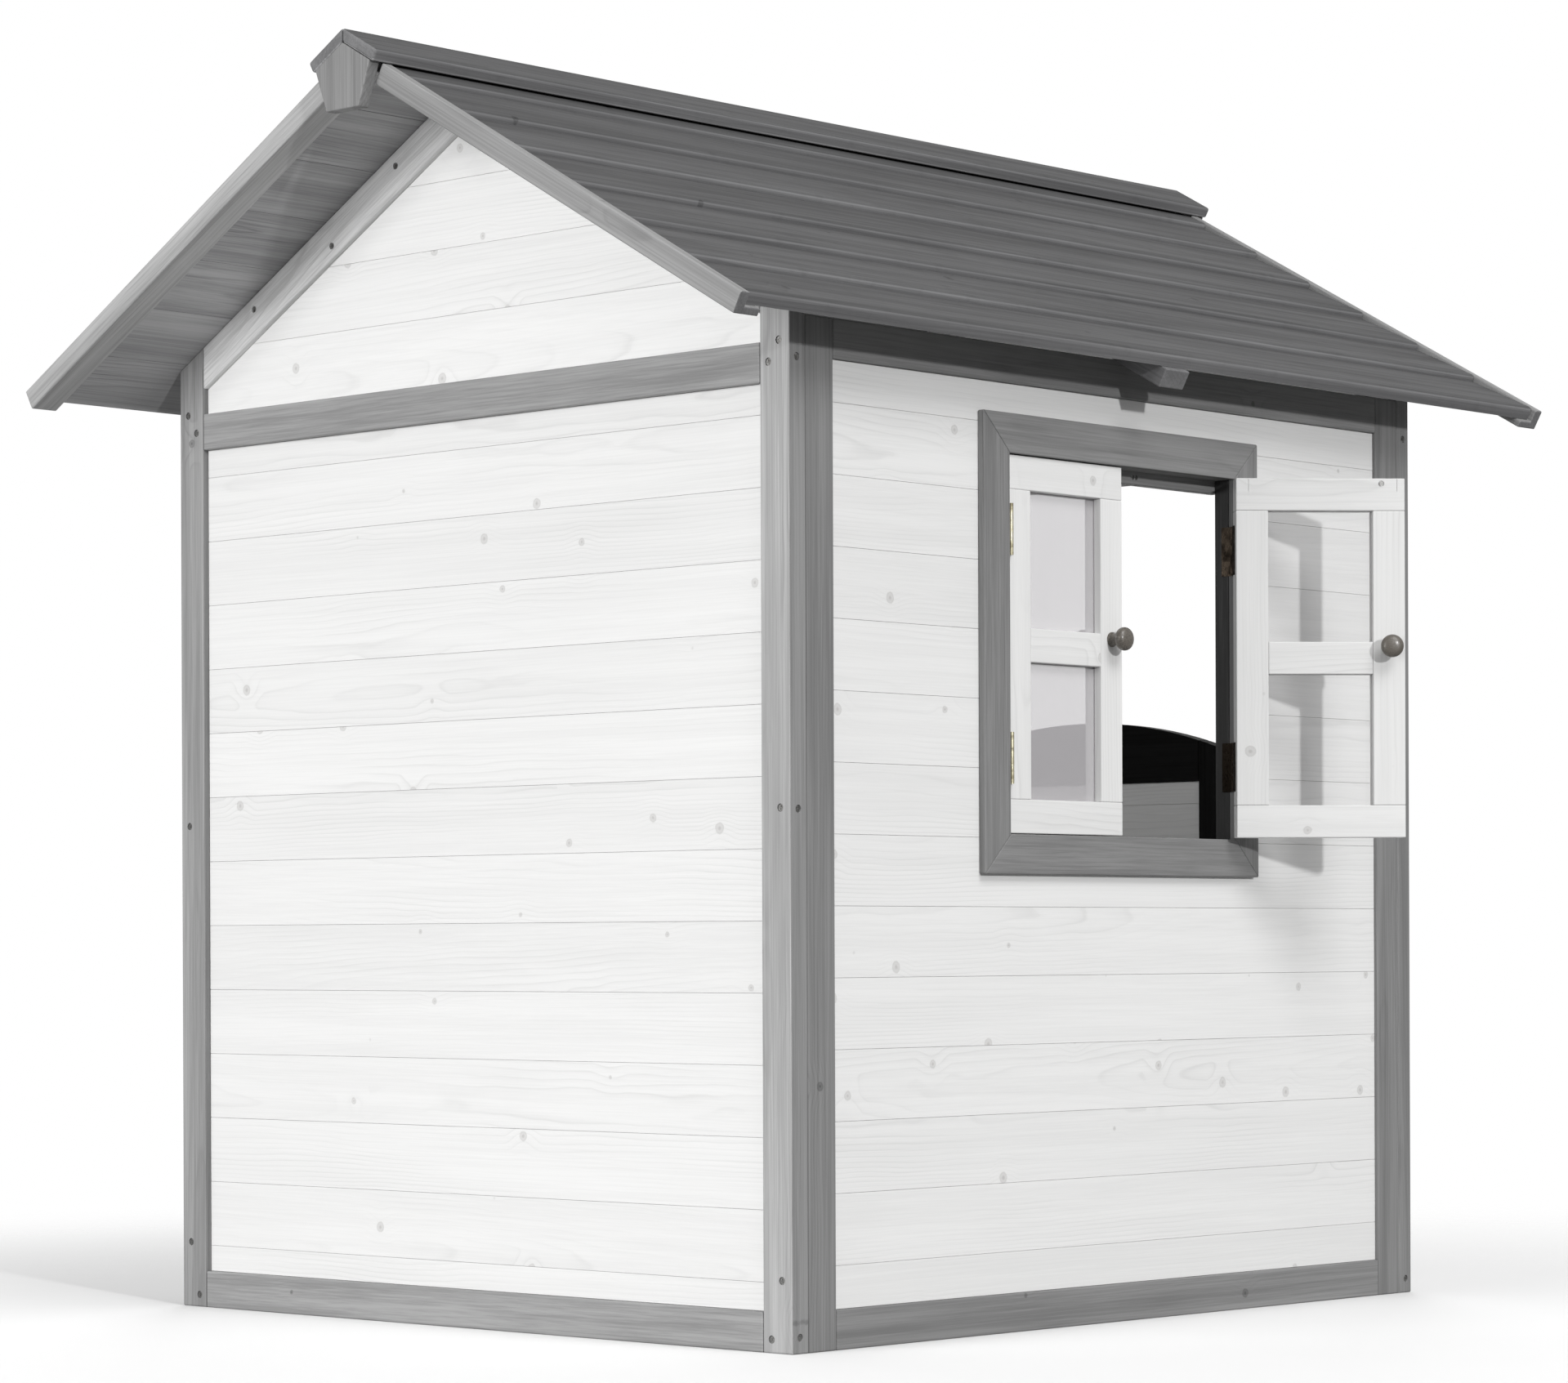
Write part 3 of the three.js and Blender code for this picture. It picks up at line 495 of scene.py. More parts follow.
def combined(a, b, operation):
    """A new bmesh from two closed ones, which are freed."""
    pair = []
    for bm in (a, b):
        mesh = bpy.data.meshes.new("operand")
        bm.to_mesh(mesh)
        bm.free()
        obj = bpy.data.objects.new("operand", mesh)
        bpy.context.scene.collection.objects.link(obj)
        pair.append(obj)
    change = pair[0].modifiers.new("combine", "BOOLEAN")
    change.operation = operation
    change.object = pair[1]
    change.solver = "MANIFOLD"
    bpy.context.view_layer.update()
    made = pair[0].evaluated_get(bpy.context.evaluated_depsgraph_get()).to_mesh()
    result = bmesh.new()
    result.from_mesh(made)
    for obj in pair:
        mesh = obj.data
        bpy.data.objects.remove(obj)
        bpy.data.meshes.remove(mesh)
    return result


def from_node(name):
    """A CAD node's shape as a bmesh of whole flat faces."""
    bm = bmesh.new()
    bm.from_mesh(frame["nodes"][name].data)
    bmesh.ops.remove_doubles(bm, verts=bm.verts, dist=0.001 * MM)
    bmesh.ops.dissolve_limit(bm, angle_limit=COLLINEAR, verts=bm.verts, edges=bm.edges)
    return bm


def round_arrises(bm, width, segments):
    """Rounds every sharp edge."""
    sharp = [e for e in bm.edges if len(e.link_faces) == 2 and e.calc_face_angle(0) > SHARP]
    bmesh.ops.bevel(bm, geom=sharp, offset=width, segments=segments, profile=0.5, affect="EDGES",
                    clamp_overlap=True)


def set_grain(obj, along, face, seed, pith, tilt, shade):
    """Writes the piece's ring coordinates: x along the grain, y across the face and z out of
    it. The pith runs beside the piece, about `pith` away and tilted by up to `tilt`. `tone`
    scales the colour: the piece's `shade`, which paints light and shade into it, and a little
    chance."""
    draw = random.Random(seed)
    along = Vector(along).normalized()
    face = Vector(face).normalized()
    turn = Matrix((along, face.cross(along), face))
    lean = Matrix.Rotation(draw.choice((-1, 1)) * draw.uniform(0.2, 1) ** 2 * tilt, 3, "Y")
    lean = lean @ Matrix.Rotation(draw.uniform(-tilt, tilt) / 4, 3, "Z")
    middle = sum((v.co for v in obj.data.vertices), Vector()) / len(obj.data.vertices)
    start = draw.uniform(-50, 50)
    offset = Vector((start, draw.uniform(-1.4, 1.4) * pith, pith * draw.uniform(0.4, 1.4)))
    shade *= 1 + TONE_SPREAD * draw.uniform(-1, 1)
    flow = [lean @ (turn @ (v.co - middle)) + offset for v in obj.data.vertices]
    grain = obj.data.attributes.new("grain", "FLOAT_VECTOR", "POINT")
    grain.data.foreach_set("vector", [c for point in flow for c in point])
    tone = obj.data.attributes.new("tone", "FLOAT", "POINT")
    tone.data.foreach_set("value", [shade] * len(flow))


def piece(name, bm, material, body="house", slot=None, replaces=(), bevel=1.2 * MM, segments=2,
          along=None, face=None, holes=(), smooth=False, pith=0.06, tilt=0.03, shade=1.0, place=None):
    """One finished piece: its mesh, arrises, holes, grain and material, riding on its body."""
    if bevel:
        round_arrises(bm, bevel, segments)
    for hole in holes:
        bm = cut_from(bm, hole)
    mesh = bpy.data.meshes.new(name)
    bm.to_mesh(mesh)
    bm.free()
    obj = bpy.data.objects.new(name, mesh)
    bpy.context.scene.collection.objects.link(obj)
    if along is not None:
        set_grain(obj, along, face, name, pith, tilt, shade)
    for polygon in obj.data.polygons:
        polygon.use_smooth = smooth
    if place is not None:
        obj.data.transform(place)
        if place.determinant() < 0:
            obj.data.flip_normals()
    obj.data.name = name
    obj.data.materials.clear()
    obj.data.materials.append(material)
    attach(obj, body)
    if replaces:
        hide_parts(*replaces)
    return obj


def restain(obj, material, chosen):
    """Gives a second stain to the faces whose normal is chosen."""
    obj.data.materials.append(material)
    for polygon in obj.data.polygons:
        if chosen(polygon.normal):
            polygon.material_index = len(obj.data.materials) - 1


# ---- where things are

GABLE_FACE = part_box("back_stile_window_side")[1].y
STOCK_DEPTH = GABLE_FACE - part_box("back_stile_window_side")[0].y
WALL_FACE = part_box("window_wall_stile_back")[0].x
PLAIN_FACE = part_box("plain_wall_stile_back")[1].x
MIDDLE = (WALL_FACE + PLAIN_FACE) / 2
HALF_WIDTH = (PLAIN_FACE - WALL_FACE) / 2
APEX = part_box("ridge_block_back")[1].z - ROOF_BOARD_THICK / math.cos(PITCH)


def on_slope(side, s, h):
    """X and Z of a point `s` down the slope and `h` out from the roof boards' underside."""
    return (MIDDLE + side * (s * math.cos(PITCH) + h * math.sin(PITCH)),
            APEX - s * math.sin(PITCH) + h * math.cos(PITCH))


def slope_run(side):
    return (side * math.cos(PITCH), 0, -math.sin(PITCH))


def slope_normal(side):
    return (side * math.sin(PITCH), 0, math.cos(PITCH))


# ---- screws

def screw_head(centre, normal, turn, radius=SCREW_RADIUS):
    """A countersunk head with a cross recess, its face at `centre` looking along `normal`."""
    head = cylinder((0, 0), radius, -SCREW_HEAD, 0, segments=28)
    arm, half_width, depth = 0.62 * radius, 0.42 * MM, 0.6 * MM
    for x, y in ((arm, half_width), (half_width, arm)):
        head = cut_from(head, block((-x, -y, -depth), (x, y, 1 * MM)))
    aim = Vector(normal).to_track_quat("Z", "Y").to_matrix().to_4x4()
    head.transform(Matrix.Translation(centre) @ aim @ Matrix.Rotation(turn, 4, "Z"))
    return head


screw_places = []


def screwed(body, centre, normal, radius=SCREW_RADIUS):
    """Notes a screw there, and gives the bmesh of its countersink for the timber to be cut by."""
    centre = Vector(centre)
    normal = Vector(normal).normalized()
    screw_places.append((body, centre - normal * SCREW_SINK, normal, radius))
    hole = cylinder((0, 0), radius + SINK_PLAY, -SINK_DEPTH, 2 * MM, segments=28)
    hole.transform(Matrix.Translation(centre) @ normal.to_track_quat("Z", "Y").to_matrix().to_4x4())
    return hole


def make_screws():
    """One piece of screws for each body and each way that they face."""
    groups = {}
    for body, centre, normal, radius in screw_places:
        key = (body, tuple(round(c, 2) for c in normal))
        groups.setdefault(key, []).append((centre, normal, radius))
    for number, ((body, _), places) in enumerate(sorted(groups.items(), key=lambda g: str(g[0]))):
        draw = random.Random(number)
        heads = [screw_head(c, n, draw.uniform(0, math.pi), r) for c, n, r in places]
        piece(f"{body}_screws_{number}", merged(*heads), STEEL, body=body, bevel=0)


# ---- frame timber

def timber(name, along, face, bevel=1.8 * MM, holes=(), shade=1.0, material=GREY, slot="grey_stain"):
    """A CAD node made as one length of timber."""
    return piece(f"{name}_timber", from_node(name), material, slot=slot, replaces=[name], shade=shade,
                 bevel=bevel, segments=3, along=along, face=face, holes=holes, pith=0.05)


def is_side(normal):
    return abs(normal.x) > 0.7


def stile_holes(side, y, outward):
    """Screws through a corner stile's face, and through its side into the gable."""
    edge = MIDDLE + side * HALF_WIDTH
    holes = [screwed("house", (edge - side * inset, y, z), (0, outward, 0))
             for inset, z in STILE_SCREWS]
    holes += [screwed("house", (edge, y - outward * CORNER_SCREWS_IN, z), (side, 0, 0))
              for z in CORNER_SCREWS_Z]
    return holes


def gable_frame():
    for end, outward in ENDS:
        face = (0, outward, 0)
        y = outward * GABLE_FACE
        for side_name, side in SIDES:
            holes = stile_holes(side, y, outward)
            # Stiles and rakes are drawn lighter or darker by side, and the stiles' side faces darker
            # still: painted light and shade
            stile = timber(f"{end}_stile_{side_name}", (0, 0, 1), face, holes=holes,
                           shade=STILE_SHADE[side_name])
            restain(stile, GREY_PAINTED_SHADE, is_side)
            holes = [screwed("house", (MIDDLE + side * x, y, z), face, RAKE_SCREW_RADIUS)
                     for x, z in RAKE_SCREWS]
            timber(f"{end}_rake_{side_name}", slope_run(side), face, holes=holes,
                   shade=RAKE_SHADE[side_name])
        for rail, shade in (("bottom_rail", BOTTOM_RAIL_SHADE), ("tie_rail", TIE_RAIL_SHADE)):
            timber(f"{end}_{rail}", (1, 0, 0), face, shade=shade)
    for side_name, side in SIDES:
        timber(f"front_post_{side_name}", (0, 0, 1), (0, -1, 0))


def wall_frame():
    for wall, side in (("window_wall", -1), ("plain_wall", 1)):
        face = (side, 0, 0)
        for end, _ in ENDS:
            # Side wall frames are drawn darker than the gables': painted shade
            timber(f"{wall}_stile_{end}", (0, 0, 1), face, shade=SIDE_STILE_SHADE)
        for rail in ("bottom", "top"):
            timber(f"{wall}_{rail}_rail", (0, 1, 0), face, shade=SIDE_RAIL_SHADE)


# ---- cladding

def rows(low, high, first):
    """Lower and upper edge of each cladding board between two heights."""
    edges = [low]
    z = first
    while z < high - 2 * MM:
        if z > low + 2 * MM:
            edges.append(z)
        z += BOARD_COVER
    edges.append(high)
    return list(zip(edges, edges[1:]))


def board_section(face, back, low, high, grooved, tongued):
    """Section of one board, with a groove in its lower edge and a tongue on its upper one."""
    depth = back - face
    a, b = face + depth * 0.35, face + depth * 0.65
    play = math.copysign(TONGUE_PLAY, depth)
    low += SEAM_GAP / 2 if grooved else 0
    high -= SEAM_GAP / 2 if tongued else 0
    points = [(face, low), (face, high)]
    if tongued:
        points += [(a, high), (a, high + BOARD_TONGUE), (b, high + BOARD_TONGUE), (b, high)]
    points += [(back, high), (back, low)]
    if grooved:
        top = low + BOARD_TONGUE + 2 * SEAM_GAP
        points += [(b + play, low), (b + play, top), (a - play, top), (a - play, low)]
    return points


def cladding(node, outward, first, cutters=None, body="house", shade=BOARD_SHADE):
    """The boards of one clad panel. `outward` is the unit direction that its face looks."""
    low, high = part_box(node)
    along_x = abs(outward[1]) > 0.5
    depth_axis = 1 if along_x else 0
    sign = outward[depth_axis]
    face = high[depth_axis] if sign > 0 else low[depth_axis]
    back = low[depth_axis] if sign > 0 else high[depth_axis]
    run_axis = 1 - depth_axis
    spans = rows(low.z, high.z, first)
    for number, (z0, z1) in enumerate(spans):
        section = board_section(face, back, z0, z1, number > 0, number < len(spans) - 1)
        bm = prism(section, "XY"[run_axis], low[run_axis], high[run_axis])
        holes = cutters(z0, z1) if cutters else ()
        along = (1, 0, 0) if along_x else (0, 1, 0)
        piece(f"{node}_{number + 1}", bm, WHITE, body=body, slot="white_stain", replaces=[node],
              bevel=0.25 * MM, segments=1, along=along, face=outward, holes=holes, pith=0.055,
              shade=shade)


def window_cutter(z0, z1):
    """The window opening, for the boards that it crosses."""
    low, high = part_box("window_frame")
    reach = TRIM_WIDTH - LINING - FIT
    if z1 < low.z + reach - 5 * MM or z0 > high.z - reach + 1 * MM:
        return ()
    return (block((low.x, low.y + reach, low.z + reach), (high.x, high.y - reach, high.z - reach)),)


def rake_cutters(y):
    """What the rakes cut off the gable's upper boards: a wedge above each, well past its ends."""
    drop = STOCK / math.cos(PITCH) + FIT

    def cutters(z0, z1):
        wedges = []
        for side in (-1, 1):
            reach = side * HALF_WIDTH * 1.2
            peak = APEX - drop
            low = peak - abs(reach) * SLOPE
            above = peak + 0.1
            points = [(MIDDLE, peak), (MIDDLE + reach, low), (MIDDLE + reach, above), (MIDDLE, above)]
            wedges.append(prism(points, "Y", y - 0.05, y + 0.05))
        return wedges
    return cutters


def all_cladding():
    for end, outward in ENDS:
        # The upper boards are drawn lighter, painted light where the roof's overhang shades them; the
        # back gable's lower boards a little lighter, for the key light kept off them
        cladding(f"{end}_boards_upper", (0, outward, 0), GABLE_FIRST_SEAM,
                 rake_cutters(outward * GABLE_FACE), shade=UPPER_BOARD_SHADE)
    cladding("back_boards_lower", (0, 1, 0), GABLE_FIRST_SEAM, shade=BACK_BOARD_SHADE)
    for side_name, _ in SIDES:
        cladding(f"front_boards_{side_name}", (0, -1, 0), GABLE_FIRST_SEAM)
    cladding("window_wall_boards", (-1, 0, 0), WALL_FIRST_SEAM, window_cutter)
    cladding("plain_wall_boards", (1, 0, 0), WALL_FIRST_SEAM)


# ---- roof

def roof_board_section(number):
    """Section of one roof board, in slope coordinates: a thick rounded lower edge, and a
    tongue on the upper edge that goes into the board above."""
    full = FIRST_ROOF_EDGE + number * ROOF_BOARD_COVER
    low = min(full, SLOPE_LENGTH)
    t0, t1 = ROOF_TONGUE_LOW, ROOF_TONGUE_HIGH
    points = []
    if number == 0:
        points += [((FIT / 2 - h * math.sin(PITCH)) / math.cos(PITCH), h) for h in (ROOF_BOARD_THIN, 0)]
    else:
        top = full - ROOF_BOARD_COVER + FIT
        points += [(top, ROOF_BOARD_THIN), (top, t1), (top - ROOF_TONGUE, t1), (top - ROOF_TONGUE, t0),
                   (top, t0), (top, 0)]
    points.append((low, 0))
    if number < ROOF_BOARD_COUNT - 1:
        deep = low - ROOF_TONGUE - FIT
        points += [(low, t0 - FIT), (deep, t0 - FIT), (deep, t1 + FIT), (low, t1 + FIT)]
    for step in range(5):
        a = math.pi / 2 * step / 4
        points.append((low - ROOF_NOSE + ROOF_NOSE * math.cos(a),
                       ROOF_BOARD_THICK - ROOF_NOSE + ROOF_NOSE * math.sin(a)))
    return points


def weathered(board, side):
    """Painted light: a roof board's top keeps the dark stain, while its edges and underside get lighter
    copies of it, to match how bright they show in the light.
    """
    up = Vector(slope_normal(side))
    restain(board, ROOF_EDGE, lambda normal: normal.dot(up) < 0.75)
    restain(board, SOFFIT, lambda normal: normal.z < -0.5)


def roof():
    for side_name, side in SIDES:
        run = Vector(slope_run(side))
        node = f"roof_boards_{side_name}"
        low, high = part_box(node)
        for number in range(ROOF_BOARD_COUNT):
            section = [on_slope(side, s, h) for s, h in roof_board_section(number)]
            board = piece(f"{node}_{number + 1}", prism(section, "Y", low.y, high.y), ROOF,
                          slot="roof_stain", replaces=[node], bevel=0.5 * MM, segments=2,
                          along=(0, 1, 0), face=slope_normal(side), pith=0.045)
            weathered(board, side)
        timber(f"roof_mid_batten_{side_name}", run, (0, 1, 0), material=ROOF_EDGE, slot="roof_stain")
        cap = timber(f"ridge_cap_{side_name}", (0, 1, 0), slope_normal(side), 3.2 * MM,
                     material=ROOF, slot="roof_stain")
        weathered(cap, side)
        for end, outward in ENDS:
            batten = timber(f"verge_batten_{end}_{side_name}", run, (0, outward, 0),
                            shade=VERGE_SHADE[side_name])
            restain(batten, ROOF_EDGE, lambda normal: normal.dot(run) > 0.7)
    for end, outward in ENDS:
        timber(f"ridge_block_{end}", (0, 0, 1), (0, outward, 0), 1.5 * MM, shade=RIDGE_BLOCK_SHADE)


# ---- window frame

def window_frame():
    """Four mitred trim boards, four lining boards behind them and a stop under the head."""
    low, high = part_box("window_frame")
    y0, y1 = low.y + TRIM_WIDTH, high.y - TRIM_WIDTH
    z0, z1 = low.z + TRIM_WIDTH, high.z - TRIM_WIDTH
    outer = [(low.y, low.z), (high.y, low.z), (high.y, high.z), (low.y, high.z)]
    inner = [(y0, z0), (y1, z0), (y1, z1), (y0, z1)]
    trim_back = WALL_FACE + TRIM_REBATE
    lining_back = WALL_FACE + STOCK_DEPTH
    across, up = (0, 1, 0), (0, 0, 1)
    made = {"slot": "grey_stain", "replaces": ["window_frame"]}

    # The trims are drawn as dark as the side wall's frames: painted shade
    for i, place in enumerate(("sill", "back", "head", "front")):
        j = (i + 1) % 4
        section = [outer[i], outer[j], inner[j], inner[i]]
        piece(f"window_trim_{place}", prism(section, "X", low.x, trim_back), GREY, bevel=1.2 * MM,
              along=across if place in ("sill", "head") else up, face=(-1, 0, 0),
              shade=SIDE_STILE_SHADE, **made)

    linings = {
        "sill": ((y0 - LINING, z0 - LINING), (y1 + LINING, z0), across, up),
        "head": ((y0 - LINING, z1), (y1 + LINING, z1 + LINING), across, up),
        "front": ((y0 - LINING, z0 + FIT), (y0, z1 - FIT), up, across),
        "back": ((y1, z0 + FIT), (y1 + LINING, z1 - FIT), up, across),
    }
    # The sill, back and front linings are drawn darker, the front one nearly black: painted shade
    # inside the opening
    for place, (a, b, along, face) in linings.items():
        piece(f"window_lining_{place}", block((trim_back + FIT, *a), (lining_back, *b)), GREY,
              bevel=0.8 * MM, along=along, face=face, shade=LINING_SHADE[place], **made)

    stop_low = (lining_back + FIT, y0 - LINING, z1 - HEAD_STOP_HEIGHT)
    holes = [screwed("house", (stop_low[0], y, stop_low[2] + HEAD_STOP_SCREW_UP), (-1, 0, 0),
                     STOP_SCREW_RADIUS) for y in HEAD_STOP_SCREWS_Y]
    piece("window_head_stop", block(stop_low, (high.x, y1 + LINING, z1 + LINING)), GREY,
          bevel=0.8 * MM, along=across, face=(1, 0, 0), holes=holes, **made)


# ---- hinges

def hinge_leaf(moving, gap, z0):
    """One leaf about its pin at the origin of (t, d), as a bmesh. The door's edge is at t = 0
    with its face at d = HINGE_PIN_OUT, and the jamb is `gap` away."""
    half = LEAF_THICKNESS / 2
    start = HINGE_PIN_OUT - FIT - LEAF_THICKNESS
    set_back = start + LEAF_THICKNESS + LEAF_CLEARANCE
    third = HINGE_LENGTH / 3
    if moving:
        t0, t1 = -FIT - LEAF_THICKNESS, -FIT
        spans = [(z0 + third, z0 + 2 * third)]
    else:
        t0, t1 = FIT - gap, FIT - gap + LEAF_THICKNESS
        spans = [(z0, z0 + third - KNUCKLE_PLAY),
                 (z0 + 2 * third + KNUCKLE_PLAY, z0 + HINGE_LENGTH)]
    plate = block((t0, set_back, z0), (t1, start + LEAF_DEPTH, z0 + HINGE_LENGTH))
    for z in screw_heights(z0):
        hole = cylinder((start + LEAF_SCREW_IN, z), LEAF_HOLE, t0 - LEAF_THICKNESS,
                        t1 + LEAF_THICKNESS, "X")
        plate = cut_from(plate, hole)
    parts = [plate]
    for a, b in spans:
        parts.append(block((t0, start, a), (t1, set_back + LEAF_THICKNESS, b)))
        parts.append(block((t0, start, a), (half, start + LEAF_THICKNESS, b)))
        parts.append(block((-half, 0, a), (half, start + LEAF_THICKNESS, b)))
        parts.append(cylinder((0, 0), KNUCKLE_RADIUS, a, b, segments=32))
    leaf = fused(*parts)
    if moving:
        return cut_from(leaf, cylinder((0, 0), PIN_BORE, z0, z0 + HINGE_LENGTH))
    return fused(leaf, cylinder((0, 0), PIN_RADIUS, z0 + 1 * MM, z0 + HINGE_LENGTH - 1 * MM))


def screw_heights(z0):
    return z0 + LEAF_SCREW_END, z0 + HINGE_LENGTH / 2, z0 + HINGE_LENGTH - LEAF_SCREW_END


def hinge_screws(moving, gap, z0):
    """Heads in a leaf's three holes, in hinge coordinates, seen from the gap."""
    d = HINGE_PIN_OUT - FIT - LEAF_THICKNESS + LEAF_SCREW_IN
    if moving:
        t, way = -FIT - LEAF_THICKNESS, (-1, 0, 0)
    else:
        t, way = FIT - gap + LEAF_THICKNESS, (1, 0, 0)
    return [screw_head((t, d, z), way, z * 977, LEAF_SCREW_RADIUS) for z in screw_heights(z0)]


def placed(bm, place):
    """The bmesh moved by a matrix, still facing out if the matrix mirrors it."""
    bm.transform(place)
    if place.determinant() < 0:
        bmesh.ops.reverse_faces(bm, faces=bm.faces)
    return bm


def hinge(name, body, material, screws, heights, gap, to_world, to_moving, node_of):
    """Both leaves of each hinge of one door or sash. `to_world` takes hinge coordinates to the
    house, `to_moving` takes them to the door or sash as it stands at rest."""
    for label, z0 in heights:
        for moving, place, rider in ((False, to_world, "house"), (True, to_moving, body)):
            kind = "moving" if moving else "fixed"
            node = node_of(label, kind)
            leaf = placed(hinge_leaf(moving, gap, z0), place)
            piece(f"{name}_{label}_hinge_{kind}_brass", leaf, material, body=rider, slot="hinge_brass",
                  replaces=[node] if node else (), bevel=0.12 * MM, segments=1)
            heads = placed(merged(*hinge_screws(moving, gap, z0)), place)
            piece(f"{name}_{label}_hinge_{kind}_screws", heads, screws, body=rider, bevel=0)


# ---- window sashes

def sash_placing(joint, hand, angle):
    """Hinge coordinates (across the sash, into the room, up) to the house, shut and at rest."""
    x, y, _ = joint["pos_m"]
    pin = Matrix.Translation((x, y, 0))
    shut = pin @ Matrix.Rotation(-math.pi / 2, 4, "Z") @ Matrix.Diagonal((hand, 1, 1, 1))
    return shut, pin @ Matrix.Rotation(angle, 4, "Z") @ pin.inverted() @ shut


def spun(profile, sides=48):
    """A turned shape about Y: `profile` is (radius, y) from one end to the other."""
    bm = bmesh.new()
    rings = []
    for radius, y in profile:
        if radius < 1e-6:
            rings.append([bm.verts.new((0, y, 0))])
            continue
        rings.append([bm.verts.new((radius * math.cos(a), y, radius * math.sin(a)))
                      for a in (2 * math.pi * i / sides for i in range(sides))])
    for low, high in zip(rings, rings[1:]):
        for i in range(sides):
            j = (i + 1) % sides
            corners = [low[i % len(low)], low[j % len(low)], high[j % len(high)], high[i % len(high)]]
            bm.faces.new(list(dict.fromkeys(corners)))
    bmesh.ops.recalc_face_normals(bm, faces=bm.faces)
    return bm


def smooth_curve(points, steps=6):
    """A Catmull-Rom curve through the points."""
    ends = [points[0], *points, points[-1]]
    curve = []
    for a, b, c, d in zip(ends, ends[1:], ends[2:], ends[3:]):
        for i in range(steps):
            t = i / steps
            curve.append(tuple(
                0.5 * (2 * q + (r - p) * t + (2 * p - 5 * q + 4 * r - s) * t ** 2
                       + (3 * q - p - 3 * r + s) * t ** 3)
                for p, q, r, s in zip(a, b, c, d)))
    return [*curve, points[-1]]


def knob_profile():
    """Foot, neck, bulb and crown of the outer knob, then down the spindle to the inner one."""
    outline = [(9, 0), (8.6, 1.6), (6.9, 4), (6.3, 7.5), (8.2, 11), (12.1, 14), (13.9, 18),
               (13.2, 22.4), (9.6, 25.6), (4.5, 26.8), (0, 27)]
    half = SASH_DEPTH / 2 + FIT
    knob = [(max(r, 0) * MM, half + y * MM) for r, y in smooth_curve(outline)]
    spindle = [(SPINDLE_RADIUS, half), (SPINDLE_RADIUS, -half)]
    return knob[::-1] + spindle + [(r, -y) for r, y in knob]


def joint_of(body):
    return next(j for j in frame["joints"] if j["child"] == body)


def sash(name, hand, angle, brass, screws):
    """Modelled shut, in hinge coordinates: t across from its hinged edge and d into the room."""
    shut, rest = sash_placing(joint_of(name), hand, angle)
    low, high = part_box(f"{name}_frame")
    t0, t1 = 0, SASH_WIDTH
    d0, d1 = HINGE_PIN_OUT, HINGE_PIN_OUT + SASH_DEPTH
    z0, z1 = low.z, high.z
    m = SASH_MEMBER
    middle = (z0 + z1) / 2
    across, up = (1, 0, 0), (0, 0, 1)
    knob_t = t1 - m / 2
    corner_screw = (t1 - CORNER_SCREW_IN, z1 - CORNER_SCREW_DOWN)

    reach = m - PANE_GROOVE
    pane_face = d0 + PANE_SETBACK
    holes = {"free_stile": [((knob_t, KNOB_Z), SPINDLE_BORE, d0 - 0.01, d1 + 0.01)],
             "top_rail": [(corner_screw, CORNER_SCREW_HOLE, d1 - 1.6 * MM, d1 + 1 * MM)]}
    members = {
        "top_rail": ((t0, z1 - m), (t1, z1), across),
        "bottom_rail": ((t0, z0), (t1, z0 + m), across),
        "hinge_stile": ((t0, z0 + m + TIGHT), (t0 + m, z1 - m - TIGHT), up),
        "free_stile": ((t1 - m, z0 + m + TIGHT), (t1, z1 - m - TIGHT), up),
        "middle_bar": ((t0 + m + TIGHT, middle - m / 2), (t1 - m - TIGHT, middle + m / 2), across),
    }
    for label, (a, b, along) in members.items():
        cutters = [block((t0 + reach, pane_face - FIT, z0 + reach),
                         (t1 - reach, pane_face + PANE_DEPTH + FIT, z1 - reach))]
        cutters += [cylinder(*hole, "Y", 24 if label == "free_stile" else 28)
                    for hole in holes.get(label, ())]
        if label == "top_rail":
            for t in (t0 + KERF_FROM_HINGE, t1 - KERF_FROM_FREE):
                cutters.append(block((t, d1 - KERF_DEPTH, z1 - KERF_LENGTH),
                                     (t + KERF, d1 + 1 * MM, z1 + 1 * MM)))
        # Each sash is drawn a little darker than its stain, the open front one more: painted shade
        piece(f"{name}_{label}", block((a[0], d0, a[1]), (b[0], d1, b[1])), WHITE, body=name,
              slot="white_stain", replaces=[f"{name}_frame"], bevel=1.1 * MM, along=along,
              face=(0, -1, 0), holes=cutters, pith=0.05, shade=SASH_SHADE[name], place=rest)
    frame["nodes"][f"{name}_pane"].data.materials[0] = PANE

    knob = spun(knob_profile())
    knob.transform(Matrix.Translation((knob_t, (d0 + d1) / 2, KNOB_Z)))
    piece(f"{name}_turned_knob", knob, KNOB, body=name, slot="knob_wood", replaces=[f"{name}_knob"],
          bevel=0, along=(0, 1, 0), face=(1, 0, 0), smooth=True, place=rest)

    head = screw_head((corner_screw[0], d1 - CORNER_SCREW_SINK, corner_screw[1]), (0, 1, 0), 0.6,
                      CORNER_SCREW_RADIUS)
    piece(f"{name}_corner_screw", placed(head, rest), STEEL, body=name, bevel=0)

    half = HINGE_LENGTH / 2
    heights = (("lower", z0 + SASH_HINGE_END - half), ("upper", z1 - SASH_HINGE_END - half))
    hinge(name, name, brass, screws, heights, SASH_SIDE_GAP, shut, rest,
          lambda label, kind: f"{name}_{label}_hinge_{kind}_leaf")


# ---- half door

def is_outside(normal):
    """The faces that show from outside: the front, its rounded arrises and the edges."""
    return normal.y < -0.2 or (normal.y < 0.2 and abs(normal.x) > 0.7)


